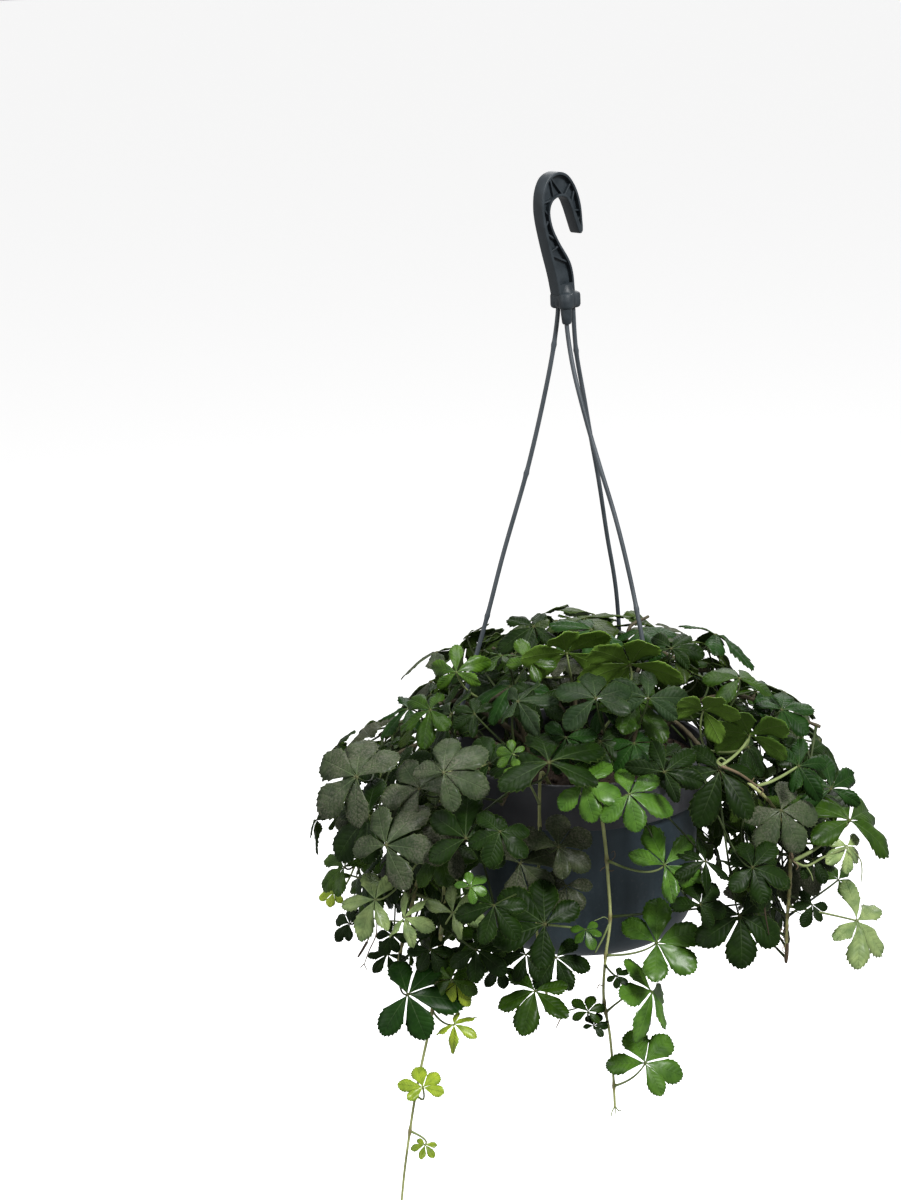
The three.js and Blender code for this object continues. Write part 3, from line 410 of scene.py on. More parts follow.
# Potting soil fills the pot to below the lip. It is a lumpy dark bed, with crumbs and bits of bark sunk in
# its face, and a few pale grains among them.
SOIL_TOP = RIM_TOP - 0.013
SOIL_RADIUS = RIM_RADIUS - 0.0035
SOIL_RINGS = 30
SOIL_WAVE = 0.0016
SOIL_LUMP = 0.0022
SOIL_EDGE = 0.006
CRUMBS = 620
CRUMB_SPREAD = 0.965
CRUMB_SIZES = (0.0007, 0.0021)
CRUMB_RISE = 0.25
soil_profile = [
    (AXIS_PATCH, BASE_Z + 0.0023), (BASE_RADIUS - 0.002, BASE_Z + 0.0023),
    (BODY_LOW_RADIUS - 0.0093, BASE_Z + 0.0083), (BODY_LOW_RADIUS - 0.0036, BASE_Z + 0.0205),
    (BODY_RADIUS - 0.0024, BAND_Z - 0.0008), (SOIL_RADIUS, BAND_Z + 0.0023), (SOIL_RADIUS, SOIL_TOP),
]
for k in range(1, SOIL_RINGS + 1):
    soil_profile.append((SOIL_RADIUS * (1 - k / SOIL_RINGS) + AXIS_PATCH, SOIL_TOP))
soil = settled(turned("soil_bed", soil_profile, 110))


def soil_level(x, y):
    """The bed's height: long low waves with lumps on them."""
    waves = 0.6 * math.sin(210 * x + 1.3) * math.cos(170 * y) + 0.4 * math.sin(430 * x - 370 * y)
    lumps = noise.turbulence(Vector((x, y, 0)) * 160, 3, False)
    return SOIL_TOP + SOIL_WAVE * waves + SOIL_LUMP * (lumps - 0.5)


for vertex in soil.data.vertices:
    if abs(vertex.co.z - SOIL_TOP) < 1e-5:
        edge = min(1, (SOIL_RADIUS - (vertex.co - AXIS).xy.length) / SOIL_EDGE)
        vertex.co.z += (soil_level(vertex.co.x, vertex.co.y) - SOIL_TOP) * edge

draws = np.random.default_rng(5)
plain_start()
bpy.ops.mesh.primitive_ico_sphere_add(subdivisions=1, radius=1)
crumb = bpy.context.object
crumbs = []
for k in range(CRUMBS):
    at = polar(360 * draws.random(), SOIL_RADIUS * CRUMB_SPREAD * math.sqrt(draws.random()), 0)
    size = draws.uniform(*CRUMB_SIZES)
    at.z = soil_level(at.x, at.y) + CRUMB_RISE * size
    turn = Matrix.Rotation(draws.uniform(0, 6), 4, "Z") @ Matrix.Rotation(draws.uniform(-0.5, 0.5), 4, "X")
    shape = (draws.uniform(0.7, 1.5), draws.uniform(0.6, 1.1), draws.uniform(0.5, 0.9), 1)
    grain = crumb.copy()
    grain.data = crumb.data.copy()
    grain.data.transform(Matrix.Translation(at) @ turn @ Matrix.Diagonal(shape) @ Matrix.Scale(size, 4))
    bpy.context.collection.objects.link(grain)
    crumbs.append(grain)
bpy.data.objects.remove(crumb)


def joined(name, pieces):
    """The pieces as one, under this name."""
    chosen(*pieces)
    bpy.ops.object.join()
    whole = bpy.context.object
    whole.name = name
    return whole


soil = settled(joined("soil_bed", [soil, *crumbs]), angle=60)
earth = Finish("potting_soil", roughness=0.92, specular=0.2)
grain = earth.noise(700, 4)
patch = earth.noise(120, 3)
pale_grain = earth.noise(300, 1).clamped(0.72, 0.76)
earth_tint = earth.varied(grain, (0.006, 0.004, 0.003, 1), (0.032, 0.021, 0.014, 1), 0.35, 0.65)
earth_tint = earth.mix(patch.clamped(0.45, 0.7) * 0.6, earth_tint, (0.05, 0.032, 0.02, 1))
earth.colour(earth.mix(pale_grain * 0.55, earth_tint, (0.22, 0.195, 0.165, 1)))
earth.rough(0.8 + grain * 0.15)
earth.bump(grain, 0.0006)
soil.data.materials.append(earth.material)
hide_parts("soil")
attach(soil, "root")


# The hook is one moulding: an I-section bow and shank whose web is stiffened by zigzag ribs, on a crown
# of three round lobes that grip the strands. Its outline is drawn in its own plane, in mm.
HOOK_TURN = math.radians(37)
HOOK_THICK = 8.5
HOOK_WEB = 2.6
HOOK_FLANGE = 1.5
HOOK_RIB = 1.0
HOOK_RIB_DEEP = 6.3
HOOK_POCKET_END = -49
CURVE_STEP = 0.02
BORDER_STEPS = 12
INSET_ROOM = 0.96
HOOK_BACK = [(-4.2, -55), (-6.4, -44.2), (-11, -27.4), (-14.5, -11.7), (-15, -4.5), (-13.8, 4),
    (-9.8, 10.9), (-3, 13.7), (3.4, 12.2), (9.2, 5.6), (13, -4.6), (14.3, -17.5)]
HOOK_TIP = [(14.2, -20.4), (13.2, -21.6), (12, -21.8), (11.1, -20.8)]
HOOK_INSIDE = [(6.4, -7.5), (3.4, -1.6), (0, 0), (-4, -0.5), (-7.2, -2.6), (-9, -7.5), (-7.6, -16),
    (-3.6, -24.1), (4.2, -36.4), (6.2, -43), (7.2, -55)]
HOOK_RIBS = [((6, -38), (-10, -31)), ((-10, -31), (-1, -26)), ((-1, -26), (-13.5, -18)),
    ((-13.5, -18), (-8.5, -11)), ((-8.5, -11), (-15, -3)), ((-15, -3), (-5, -1)), ((-5, -1), (-8, 12)),
    ((-8, 12), (2, 0)), ((2, 0), (8, 8)), ((10, 4), (6, -8)), ((6, -8), (14, -9)), ((14, -10), (10, -18))]


def catmull(points, count):
    """Places spread evenly along a smooth centripetal curve through the points."""
    points = np.asarray(points, float)
    ends = [2 * points[0] - points[1], *points, 2 * points[-1] - points[-2]]
    fine = []
    for p0, p1, p2, p3 in zip(ends, ends[1:], ends[2:], ends[3:]):
        steps = [max(1e-4, np.sum((b - a) ** 2) ** 0.25) for a, b in ((p0, p1), (p1, p2), (p2, p3))]
        t1 = (p1 - p0) / steps[0] - (p2 - p0) / (steps[0] + steps[1]) + (p2 - p1) / steps[1]
        t2 = (p2 - p1) / steps[1] - (p3 - p1) / (steps[1] + steps[2]) + (p3 - p2) / steps[2]
        t1, t2 = t1 * steps[1], t2 * steps[1]
        for t in np.arange(0, 1, CURVE_STEP):
            cubic = (2 * t**3 - 3 * t**2 + 1) * p1 + (t**3 - 2 * t**2 + t) * t1
            fine.append(cubic + (3 * t**2 - 2 * t**3) * p2 + (t**3 - t**2) * t2)
    fine.append(points[-1])
    fine = np.array(fine)
    travelled = np.concatenate([[0], np.cumsum(np.linalg.norm(np.diff(fine, axis=0), axis=1))])
    wanted = np.linspace(0, travelled[-1], count)
    return np.stack([np.interp(wanted, travelled, axis) for axis in fine.T], axis=1)


def hook_place(u, w, t):
    """A place in the hook's plane, and t mm out of it, as a place in the frame."""
    c, s = math.cos(HOOK_TURN), math.sin(HOOK_TURN)
    return Vector((c * u + s * t, s * u - c * t, w)) * MM


def distances(places, others):
    """How far each place is from the nearest of the others."""
    return np.min(np.linalg.norm(places[:, None] - others[None], axis=2), axis=1)


def inset(points, depth):
    """The closed outline moved inwards, less what a narrow part of it has no room for."""
    points = np.array(points)
    ahead = np.roll(points, -1, axis=0) - np.roll(points, 1, axis=0)
    inward = np.stack([ahead[:, 1], -ahead[:, 0]], axis=1) / np.linalg.norm(ahead, axis=1)[:, None]
    moved = points + depth * inward
    shares = np.linspace(0, 1, BORDER_STEPS)[:, None, None]
    border = ((1 - shares) * points + shares * np.roll(points, -1, axis=0)).reshape(-1, 2)
    roomy = distances(moved, border) > INSET_ROOM * depth
    return moved[roomy & (moved[:, 1] > HOOK_POCKET_END)]


def plate(points, low, high):
    """A flat plate with this outline in the hook's plane, from low to high out of it, in mm."""
    plain_start()
    bpy.ops.mesh.primitive_circle_add(vertices=len(points), radius=0.01, fill_type="NGON")
    piece = bpy.context.object
    for vertex, (u, w) in zip(piece.data.vertices, points):
        vertex.co = (u * MM, w * MM, low * MM)
    edit_all()
    bpy.ops.mesh.extrude_region_move(TRANSFORM_OT_translate={"value": (0, 0, (high - low) * MM)})
    return settled(piece)


outline = [*catmull(HOOK_BACK, 60), *HOOK_TIP, *catmull(HOOK_INSIDE, 56)]
hook = plate(outline, -HOOK_THICK / 2, HOOK_THICK / 2)
modified(hook, "BEVEL", width=0.0006, segments=3, limit_method="ANGLE", angle_limit=math.radians(50))
pocket = inset(outline, HOOK_FLANGE)
cut(hook, plate(pocket, HOOK_WEB / 2, HOOK_THICK))
cut(hook, plate(pocket, -HOOK_THICK, -HOOK_WEB / 2))
rib_room = inset(outline, HOOK_FLANGE / 2)
for (u0, w0), (u1, w1) in HOOK_RIBS:
    plain_start()
    bpy.ops.mesh.primitive_cube_add(size=1, location=((u0 + u1) / 2 * MM, (w0 + w1) / 2 * MM, 0))
    rib = bpy.context.object
    rib.scale = (math.hypot(u1 - u0, w1 - w0) * MM, HOOK_RIB * MM, HOOK_RIB_DEEP * MM)
    rib.rotation_euler.z = math.atan2(w1 - w0, u1 - u0)
    settled(rib)
    modified(rib, "BEVEL", width=0.0002, segments=2, limit_method="ANGLE")
    cut(rib, plate(rib_room, -0.4 * HOOK_THICK, 0.4 * HOOK_THICK), "INTERSECT")
    cut(hook, rib, "UNION")
for vertex in hook.data.vertices:
    vertex.co = hook_place(vertex.co.x / MM, vertex.co.y / MM, vertex.co.z / MM)

CROWN_AZIMUTHS = [150, 270, 30]
CROWN_TOP = -0.0535
CROWN_BOTTOM = -0.062
CROWN_CIRCLE = 0.0049
LOBE_RADIUS = 0.0043
PEG_LOBE = 1
PEG_BOTTOM = -0.071
SOCKET_RADIUS = 0.00165
SOCKET_CUT = 0.007
SOCKET_RISE = 0.0015
crown_profile = [
    (AXIS_PATCH, CROWN_BOTTOM), (0.0052, CROWN_BOTTOM), (0.0062, CROWN_BOTTOM + 0.0008),
    (0.0066, CROWN_BOTTOM + 0.002), (0.0066, CROWN_TOP - 0.003), (0.006, CROWN_TOP - 0.001),
    (0.0046, CROWN_TOP + 0.0012), (0.0035, CROWN_TOP + 0.004), (AXIS_PATCH, CROWN_TOP + 0.006),
]
lobe_profile = [
    (AXIS_PATCH, CROWN_BOTTOM - 0.0006), (0.0030, CROWN_BOTTOM - 0.0006), (0.0039, CROWN_BOTTOM),
    (LOBE_RADIUS, CROWN_BOTTOM + 0.0012), (LOBE_RADIUS, CROWN_TOP - 0.0022),
    (0.0038, CROWN_TOP - 0.0008), (0.0024, CROWN_TOP), (AXIS_PATCH, CROWN_TOP + 0.0003),
]
peg_profile = [
    (AXIS_PATCH, PEG_BOTTOM), (0.0021, PEG_BOTTOM), (0.0026, PEG_BOTTOM + 0.0006),
    (0.0031, -0.066), (0.0034, CROWN_BOTTOM + 0.002), (AXIS_PATCH, CROWN_BOTTOM + 0.003),
]
crown = settled(turned("crown", crown_profile, 48))
for k, azimuth in enumerate(CROWN_AZIMUTHS):
    middle = polar(azimuth, CROWN_CIRCLE, 0)
    cut(crown, settled(turned("lobe", lobe_profile, 36, middle)), "UNION")
    if k == PEG_LOBE:
        cut(crown, settled(turned("peg", peg_profile, 32, middle)), "UNION")
    low = PEG_BOTTOM if k == PEG_LOBE else CROWN_BOTTOM
    socket_at = (middle.x, middle.y, low + SOCKET_RISE)
    cut(crown, settled(cylinder(28, SOCKET_RADIUS, SOCKET_CUT, socket_at)))
cut(hook, crown, "UNION")
hook.name = "moulded_hook"
settled(hook, angle=38)

moulded = Finish("hook_slate_plastic", roughness=0.46, specular=0.3)
wear = moulded.noise(160, 4)
speck = moulded.noise(1500, 2).clamped(0.6, 0.8)
hook_tint = moulded.varied(wear, (0.008, 0.012, 0.015, 1), (0.018, 0.024, 0.029, 1))
moulded.colour(moulded.mix(speck * 0.25, hook_tint, (0.06, 0.068, 0.075, 1)))
moulded.rough(0.4 + wear.clamped(0.3, 0.7) * 0.15)
moulded.bump(moulded.noise(2200, 2) * 0.5 + wear * 0.5, 0.00008)
hook.data.materials.append(moulded.material)
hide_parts("hanger_hook")
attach(hook, "root")


# The three strands are thin round plastic, moulded in one with a button at the lower end that snaps
# under a lug. Small collars on them are where the mould's channels met.
STRAND_RADIUS = 1.3
STRAND_PLACES = 150
SOCKET_DEPTH = 4.7
STRAND_LEAD = 1.3
LUG_LEAD = 8
LUG_PASS = 4
COLLAR_RISE = 0.35
COLLAR_LENGTH = 1.6
BUTTON_HEIGHTS = [1.6, 0.9, 0, -0.9, -1.7, -2.2]
BUTTON_RADII = [1.3, 2.4, 2.8, 2.6, 1.9, 0.8]
STRANDS = {
    "strand_left": [(554, 344), (546, 388), (528, 467), (503, 555), (487, 617), (472, 670)],
    "strand_front": [(573, 367), (587, 423), (600, 467), (616, 520), (631, 582), (648, 670)],
    "strand_back": [(576, 350), (584, 397), (591, 438), (598, 476), (607, 535), (616, 590)],
}
COLLARS = {"strand_left": [(554, 344), (527, 472), (487, 617)], "strand_front": [(637, 610)],
    "strand_back": [(576, 350)]}
strand_routes = {}


def strand_route(k, pixels):
    """The strand's route in mm: straight out of its socket, through the pixels, and down to its lug."""
    low = (PEG_BOTTOM if k == PEG_LOBE else CROWN_BOTTOM) / MM
    top = np.array(polar(CROWN_AZIMUTHS[k], CROWN_CIRCLE, low * MM + SOCKET_DEPTH * MM)) / MM
    throat = top - [0, 0, SOCKET_DEPTH + STRAND_LEAD]
    lug = np.array(polar(LUG_AZIMUTHS[k], LUG_CIRCLE, LUG_Z)) / MM
    route = [top, throat]
    for pixel in pixels:
        guess = point_at(pixel, throat[1])
        share = (throat[2] - guess[2]) / (throat[2] - lug[2])
        route.append(point_at(pixel, throat[1] + (lug[1] - throat[1]) * share))
    approach = (lug - route[-1]) / np.linalg.norm(lug - route[-1])
    return [*route, lug - LUG_LEAD * approach, lug + LUG_PASS * approach]


def tubes(name, paths, sides=1):
    """Closed round tubes along paths. A path is its points and a radius at each, in mm."""
    curve = bpy.data.curves.new(name, "CURVE")
    curve.dimensions = "3D"
    curve.bevel_depth = 1
    curve.bevel_resolution = sides
    curve.use_fill_caps = True
    for points, radii in paths:
        spline = curve.splines.new("POLY")
        spline.points.add(len(points) - 1)
        for slot, point, radius in zip(spline.points, points, radii):
            slot.co = (*(np.asarray(point) * MM), 1)
            slot.radius = radius * MM
    piece = bpy.data.objects.new(name, curve)
    bpy.context.collection.objects.link(piece)
    chosen(piece)
    bpy.ops.object.convert(target="MESH")
    return settled(bpy.context.object)


cordage = Finish("strand_grey_plastic", roughness=0.4, specular=0.35)
bands = cordage.noise(60, 3)
cordage.colour(cordage.varied(bands, (0.026, 0.033, 0.039, 1), (0.043, 0.051, 0.059, 1), 0.35, 0.65))
cordage.rough(0.34 + bands * 0.16)
cordage.bump(cordage.noise(1400, 2), 0.00005)

for k, (node, pixels) in enumerate(STRANDS.items()):
    route = catmull(strand_route(k, pixels), STRAND_PLACES)
    strand_routes[node] = route
    radii = np.full(len(route), STRAND_RADIUS)
    for pixel in COLLARS[node]:
        seen = [abs(np.dot(ray_through(pixel), p - EYE) / np.linalg.norm(p - EYE)) for p in route]
        at = route[int(np.argmax(seen))]
        radii += COLLAR_RISE * np.exp(-((np.linalg.norm(route - at, axis=1) / COLLAR_LENGTH) ** 2))
    button = [route[-1] + [0, 0, height] for height in BUTTON_HEIGHTS]
    paths = [(route, radii), (button, BUTTON_RADII)]
    strand = tubes(node.replace("strand", "hanger_strand"), paths, sides=3)
    strand.data.materials.append(cordage.material)
    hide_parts(node)
    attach(strand, "root")


# Stems. Six rooted cuttings fork into three stems each, and five runners climb over the rim and hang.
# They are green and a little angular when young, brown and corky when old, with a swelling at each leaf.
AXIS_X = 2.5
SOIL_LEVEL = SOIL_TOP / MM
RIM_LEVEL = RIM_TOP / MM
ROOT_DEPTH = 14
ROOT_CIRCLE = 34
RUNNER_ROOT_CIRCLE = 56
RUNNER_CREST = RIM_LEVEL + 7
STEM_STEP = 24
STEM_RADII = {"cutting": [1.5, 1.3, 0.9], "runner": [1.15, 0.95, 0.75]}
CUTTING_NECK = SOIL_LEVEL + 9
BEND_TURN = 0.8
BEND_REACH = 0.45
RUNNER_NECK = SOIL_LEVEL + 5
SEAT_SHARES = (0.15, 0.4, 0.65, 0.9)
SEAT_LOWEST = SOIL_LEVEL + 8
POT_CLEAR = RIM_RADIUS / MM + 5
CUTTINGS = {
    "cutting_front": (266, [(-24, 104, -300, 24), (16, 96, -292, 20), (-4, 40, -262, 4)]),
    "cutting_right": (330, [(-20, 118, -292, 22), (14, 142, -286, 18), (0, 70, -258, 6)]),
    "cutting_back_right": (32, [(-14, 120, -286, 26), (20, 104, -282, 28), (4, 56, -250, 4)]),
    "cutting_back": (92, [(-22, 108, -290, 28), (22, 108, -294, 26), (0, 48, -256, 4)]),
    "cutting_back_left": (150, [(-18, 112, -292, 26), (16, 122, -298, 22), (0, 56, -262, 6)]),
    "cutting_left": (208, [(-16, 126, -304, 18), (18, 110, -306, 24), (0, 62, -276, 8)]),
}
RUNNERS = {
    "runner_front": (272, [(602, 817, -93), (607, 866, -91), (610, 921, -91), (603, 986, -92),
        (611, 1044, -92), (615, 1108, -92)]),
    "runner_front_left": (250, [(540, 850, -93), (536, 905, -95), (540, 960, -94), (548, 1000, -92)]),
    "runner_left": (222, [(450, 840, -82), (442, 923, -84), (431, 1019, -84), (416, 1092, -84),
        (403, 1184, -84), (401, 1208, -84)]),
    "runner_far_left": (204, [(424, 850, -62), (415, 893, -70), (406, 927, -72), (396, 975, -72)]),
    "runner_right": (322, [(732, 772, -86), (760, 792, -84), (786, 830, -78), (790, 875, -76),
        (786, 937, -76), (786, 962, -76)]),
}


def spot(azimuth, radius, z):
    """A place in mm, round the plant's axis."""
    a = math.radians(azimuth)
    return np.array([AXIS_X + radius * math.cos(a), radius * math.sin(a), z])


def stem(root, rest):
    """A stem's root, and then places a step apart along its smooth route."""
    length = np.linalg.norm(np.diff(catmull(rest, 400), axis=0), axis=1).sum()
    return [root, *catmull(rest, max(3, round(length / STEM_STEP)) + 1)]


stems = {node: [] for node in [*CUTTINGS, *RUNNERS]}
for node, (azimuth, arms) in CUTTINGS.items():
    root = spot(azimuth, ROOT_CIRCLE, SOIL_LEVEL - ROOT_DEPTH)
    neck = spot(azimuth, ROOT_CIRCLE, CUTTING_NECK)
    for turn, reach, top, drop in arms:
        bend = spot(azimuth + BEND_TURN * turn, ROOT_CIRCLE + BEND_REACH * (reach - ROOT_CIRCLE), top)
        stems[node].append(stem(root, [neck, bend, spot(azimuth + turn, reach, top - drop)]))
for node, (azimuth, pixels) in RUNNERS.items():
    root = spot(azimuth, RUNNER_ROOT_CIRCLE, SOIL_LEVEL - ROOT_DEPTH)
    neck = spot(azimuth, RUNNER_ROOT_CIRCLE, RUNNER_NECK)
    crest = spot(azimuth, RIM_RADIUS / MM + 1, RUNNER_CREST)
    stems[node].append(stem(root, [neck, crest, *(point_at((px, py), y) for px, py, y in pixels)]))

# A petiole can start where the straight run between two of a stem's places gives it a seat
seats = []
for node in stems:
    for a, b in [run for places in stems[node] for run in zip(places[1:], places[2:])]:
        for share in SEAT_SHARES:
            at = a + (b - a) * share
            if at[2] > SEAT_LOWEST or math.hypot(at[0] - AXIS_X, at[1]) > POT_CLEAR:
                seats.append({"node": node, "at": at, "used": 0})


# The leaves' places. The photograph's leaves are listed by the pixel of the hub and of the middle
# leaflet's tip, the blade's lean to the right and up (a third -1 shows its back), the tone, how many mm
# nearer to the eye it stands, and its runner if it is on one.
BRONZE = (0.019, 0.033, 0.013, 0.75)
DUSK = (0.014, 0.022, 0.008, 0.6)
GREY = (0.008, 0.020, 0.006, 0.15)
DARK = (0.0045, 0.014, 0.001, 0.03)
DEEP = (0.0065, 0.025, 0.003, 0.0)
MID = (0.013, 0.034, 0.002, 0.0)
MOSS = (0.016, 0.031, 0.003, 0.0)
# The olive tone is painted light: it gives the top leaves, seen from below, the glow of light shining
# through them
OLIVE_LIT_THROUGH = (0.058, 0.110, 0.010, 0.0)
FRESH = (0.028, 0.066, 0.005, 0.0)
BRIGHT = (0.036, 0.092, 0.009, 0.0)
LIME = (0.200, 0.290, 0.024, 0.0)
PALE = (0.145, 0.210, 0.080, 0.0)
SEEN_LEAVES = [
    ((629, 795), (673, 808), (0.1, 0.5), BRIGHT, 28, "runner_front"),
    ((671, 650), (690, 629), (0.2, 1.2), DARK, 8),
    ((358, 778), (315, 757), (-0.5, 0.5), BRONZE),
    ((444, 774), (488, 744), (-0.2, 0.6), BRONZE, 14),
    ((387, 846), (421, 800), (-0.4, 0.4), BRONZE, 6),
    ((466, 839), (470, 787), (-0.1, 0.3), DARK),
    ((520, 864), (562, 850), (0, 0.3), DUSK, 0, "runner_front_left"),
    ((558, 848), (592, 830), (0.1, 0.5), DUSK, 8, "runner_front_left"),
    ((549, 765), (546, 722), (0, 1.2), DARK),
    ((518, 703), (562, 700), (-0.1, 1.1), GREY),
    ((545, 925), (496, 893), (0, 0.3), DARK, 16, "runner_front_left"),
    ((535, 992), (523, 1027), (0, 0.7), MID, 8, "runner_front_left"),
    ((408, 995), (463, 1001), (-0.1, 0.3), DEEP, 24, "runner_far_left"),
    ((664, 773), (697, 745), (0.2, 0.5), DARK),
    ((719, 771), (702, 818), (0.3, 0.4), DARK, 4),
    ((780, 811), (808, 853), (0.4, 0.3), BRONZE, 4, "runner_right"),
    ((739, 916), (745, 963), (0.3, 0.2), DARK),
    ((583, 785), (623, 796), (0, 0.5), BRIGHT, 12, "runner_front"),
    ((664, 866), (700, 835), (0.3, 0.4), BRIGHT, 4, "runner_front"),
    ((656, 944), (704, 927), (0.2, 0.5), BRIGHT, 6, "runner_front"),
    ((650, 992), (645, 1036), (1.3, 0.3), BRIGHT, 0, "runner_front"),
    ((645, 1064), (673, 1030), (0.1, 0.4), BRIGHT, 4, "runner_front"),
    ((457, 673), (457, 639), (-0.3, 0.5), FRESH),
    ((530, 663), (548, 640), (0, 0.5), FRESH),
    ((567, 655), (560, 622), (-0.15, 1.5, -1), OLIVE_LIT_THROUGH),
    ((431, 711), (395, 722), (-0.4, 0.8), MID),
    ((739, 680), (717, 657), (0.4, 1.5), MID),
    ((703, 712), (722, 688), (0.2, 1.2, -1), OLIVE_LIT_THROUGH),
    ((749, 737), (738, 703), (0.3, 1.3, -1), FRESH),
    ((781, 711), (815, 707), (0.5, 1.1), DEEP),
    ((798, 767), (834, 762), (0.5, 0.5), DEEP, 6),
    ((848, 822), (884, 794), (0.7, 0.7), MID, 8, "runner_right"),
    ((855, 921), (886, 962), (1, 0.2), PALE, 8, "runner_right"),
    ((454, 1025), (478, 1038), (0, 0.5), LIME, 4, "runner_left"),
    ((423, 1088), (416, 1064), (0, 0.4), LIME, 4, "runner_left"),
    ((425, 1145), (419, 1158), (0, 0.4), LIME, 2, "runner_left"),
    ((334, 893), (318, 899), (-0.5, 0.8), LIME),
    ((405, 918), (437, 928), (-0.3, 0.3), PALE, 4, "runner_far_left"),
    ((453, 913), (485, 889), (-0.1, 0.3), PALE, 4, "runner_left"),
    ((376, 900), (340, 901), (-0.5, 0.4), PALE),
    ((345, 868), (325, 850), (-0.5, 0.6), FRESH, -6),
    ((350, 924), (332, 916), (-0.5, 0.4), DARK, -8),
    ((388, 955), (372, 975), (-0.3, 0.3), DARK, -8),
    ((501, 968), (485, 984), (-0.1, 0.3), DARK, -6),
    ((588, 1012), (592, 992), (0, 0.4), MID, 0, "runner_front"),
    ((705, 862), (672, 880), (0.2, 0.4), DARK, -8),
    ((752, 868), (792, 880), (0.3, 0.4), DARK, -4),
    ((700, 905), (720, 880), (0.2, 0.3), DARK, -14),
    ((648, 700), (652, 664), (0.2, 0.9), GREY),
    ((596, 700), (590, 664), (0, 0.9), GREY),
    ((630, 667), (588, 638), (0.1, 1.5, -1), OLIVE_LIT_THROUGH),
    ((420, 790), (398, 760), (-0.4, 0.6), BRONZE, -14),
    ((490, 765), (478, 735), (-0.1, 0.8), DARK, -6),
    ((475, 715), (452, 706), (-0.3, 1.1), DARK, -4),
    ((812, 860), (840, 862), (0.5, 0.4), DARK, -6),
    ((830, 790), (822, 748), (0.5, 0.6), DEEP, -8),
]
# Some of those leaves stand a little nearer or further, in mm, are turned, in degrees, larger or curled
OWN_STAND = {(583, 785): 9, (629, 795): 6, (664, 866): 15, (705, 862): -22, (520, 864): 6, (558, 848): 4,
    (549, 765): -4, (453, 913): 12, (405, 918): 18, (376, 900): 16, (345, 868): 10, (334, 893): 12}
OWN_TURN = {(848, 822): -58, (855, 921): -8}
OWN_SIZE = {(739, 916): 1.2, (520, 864): 1.15, (558, 848): 1.1, (376, 900): 1.1}
OWN_CURL = [(855, 921), (453, 913), (454, 1025)]
HIDDEN_LEAVES = 29
HIDDEN_TURN = 20
HIDDEN_TONES = [DARK, DEEP, GREY, DARK, MID, DUSK, DEEP, BRONZE]
GOLDEN_SHARE = 0.618034
BACK_START = -12
BACK_SWEEP = 204
BACK_LOWEST = -0.45
BACK_SPAN = 1.43
BACK_DROP = 6
BACK_INSET = 20
BACK_INSET_SPREAD = 12
BACK_LENGTH = 25
BACK_LENGTH_SPREAD = 8
BACK_HEIGHT = 100
BACK_SLOUCH = 0.2
BACK_RADIUS = 12
BACK_LIFT = 0.5
TOP_SHARE = 0.74
DOME_RADIUS = 165
DOME_LEVEL = -345
DOME_HEIGHT = 112
SKIRT_RADIUS = 104
SKIRT_DROP = 120
DEPTH_SHARE = 0.92
FOLIAGE_MIDDLE = [AXIS_X, 0, DOME_LEVEL - 30]
NEAREST_DEPTH = -150
FARTHEST_DEPTH = 60
DEPTH_STEP = 2
BESIDE_DEPTH = -20
RUNNER_FRONT = 10
LEAF_LENGTHS = (8, 40)
LEAF_THICK = 1.6
RIB_RISE = 0.05
LEAF_DROOP = 0.22
LEAFLET_TURNS = (-116, -58, 0, 58, 116)
LEAFLET_REACH = (0.8, 0.96, 1, 0.96, 0.8)


def unit(vector):
    """The same direction at a length of one."""
    return np.asarray(vector, float) / np.linalg.norm(vector)


def flattened(radius, azimuth):
    """The foliage is a little less deep, from front to back, than it is wide."""
    return radius * (1 - (1 - DEPTH_SHARE) * abs(math.sin(math.radians(azimuth))))


def hanging(down, normal):
    """The way nearest to down along a blade that faces along the normal."""
    return unit(down - normal * np.dot(down, normal))


def foliage_radius(z):
    """How far out the foliage reaches at this height: a dome on a skirt that draws in under it."""
    if z > DOME_LEVEL:
        return DOME_RADIUS * math.sqrt(max(0, 1 - ((z - DOME_LEVEL) / DOME_HEIGHT) ** 2))
    share = min(1, (DOME_LEVEL - z) / SKIRT_DROP)
    return DOME_RADIUS + (SKIRT_RADIUS - DOME_RADIUS) * share * share * (3 - 2 * share)


def foliage_depth(pixel):
    """The depth at which the sight line through a pixel comes into the foliage."""
    for y in range(NEAREST_DEPTH, FARTHEST_DEPTH, DEPTH_STEP):
        x, _, z = point_at(pixel, y)
        if math.hypot(x - AXIS_X, y / DEPTH_SHARE) < foliage_radius(z):
            return y
    return BESIDE_DEPTH


def runner_depth(node, py):
    """A runner's depth at this row of the photograph."""
    route = RUNNERS[node][1]
    passed = next((k for k, point in enumerate(route) if point[1] > py), len(route) - 1)
    a, b = route[max(passed, 1) - 1], route[max(passed, 1)]
    share = min(1, max(0, (py - a[1]) / (b[1] - a[1])))
    return a[2] + (b[2] - a[2]) * share


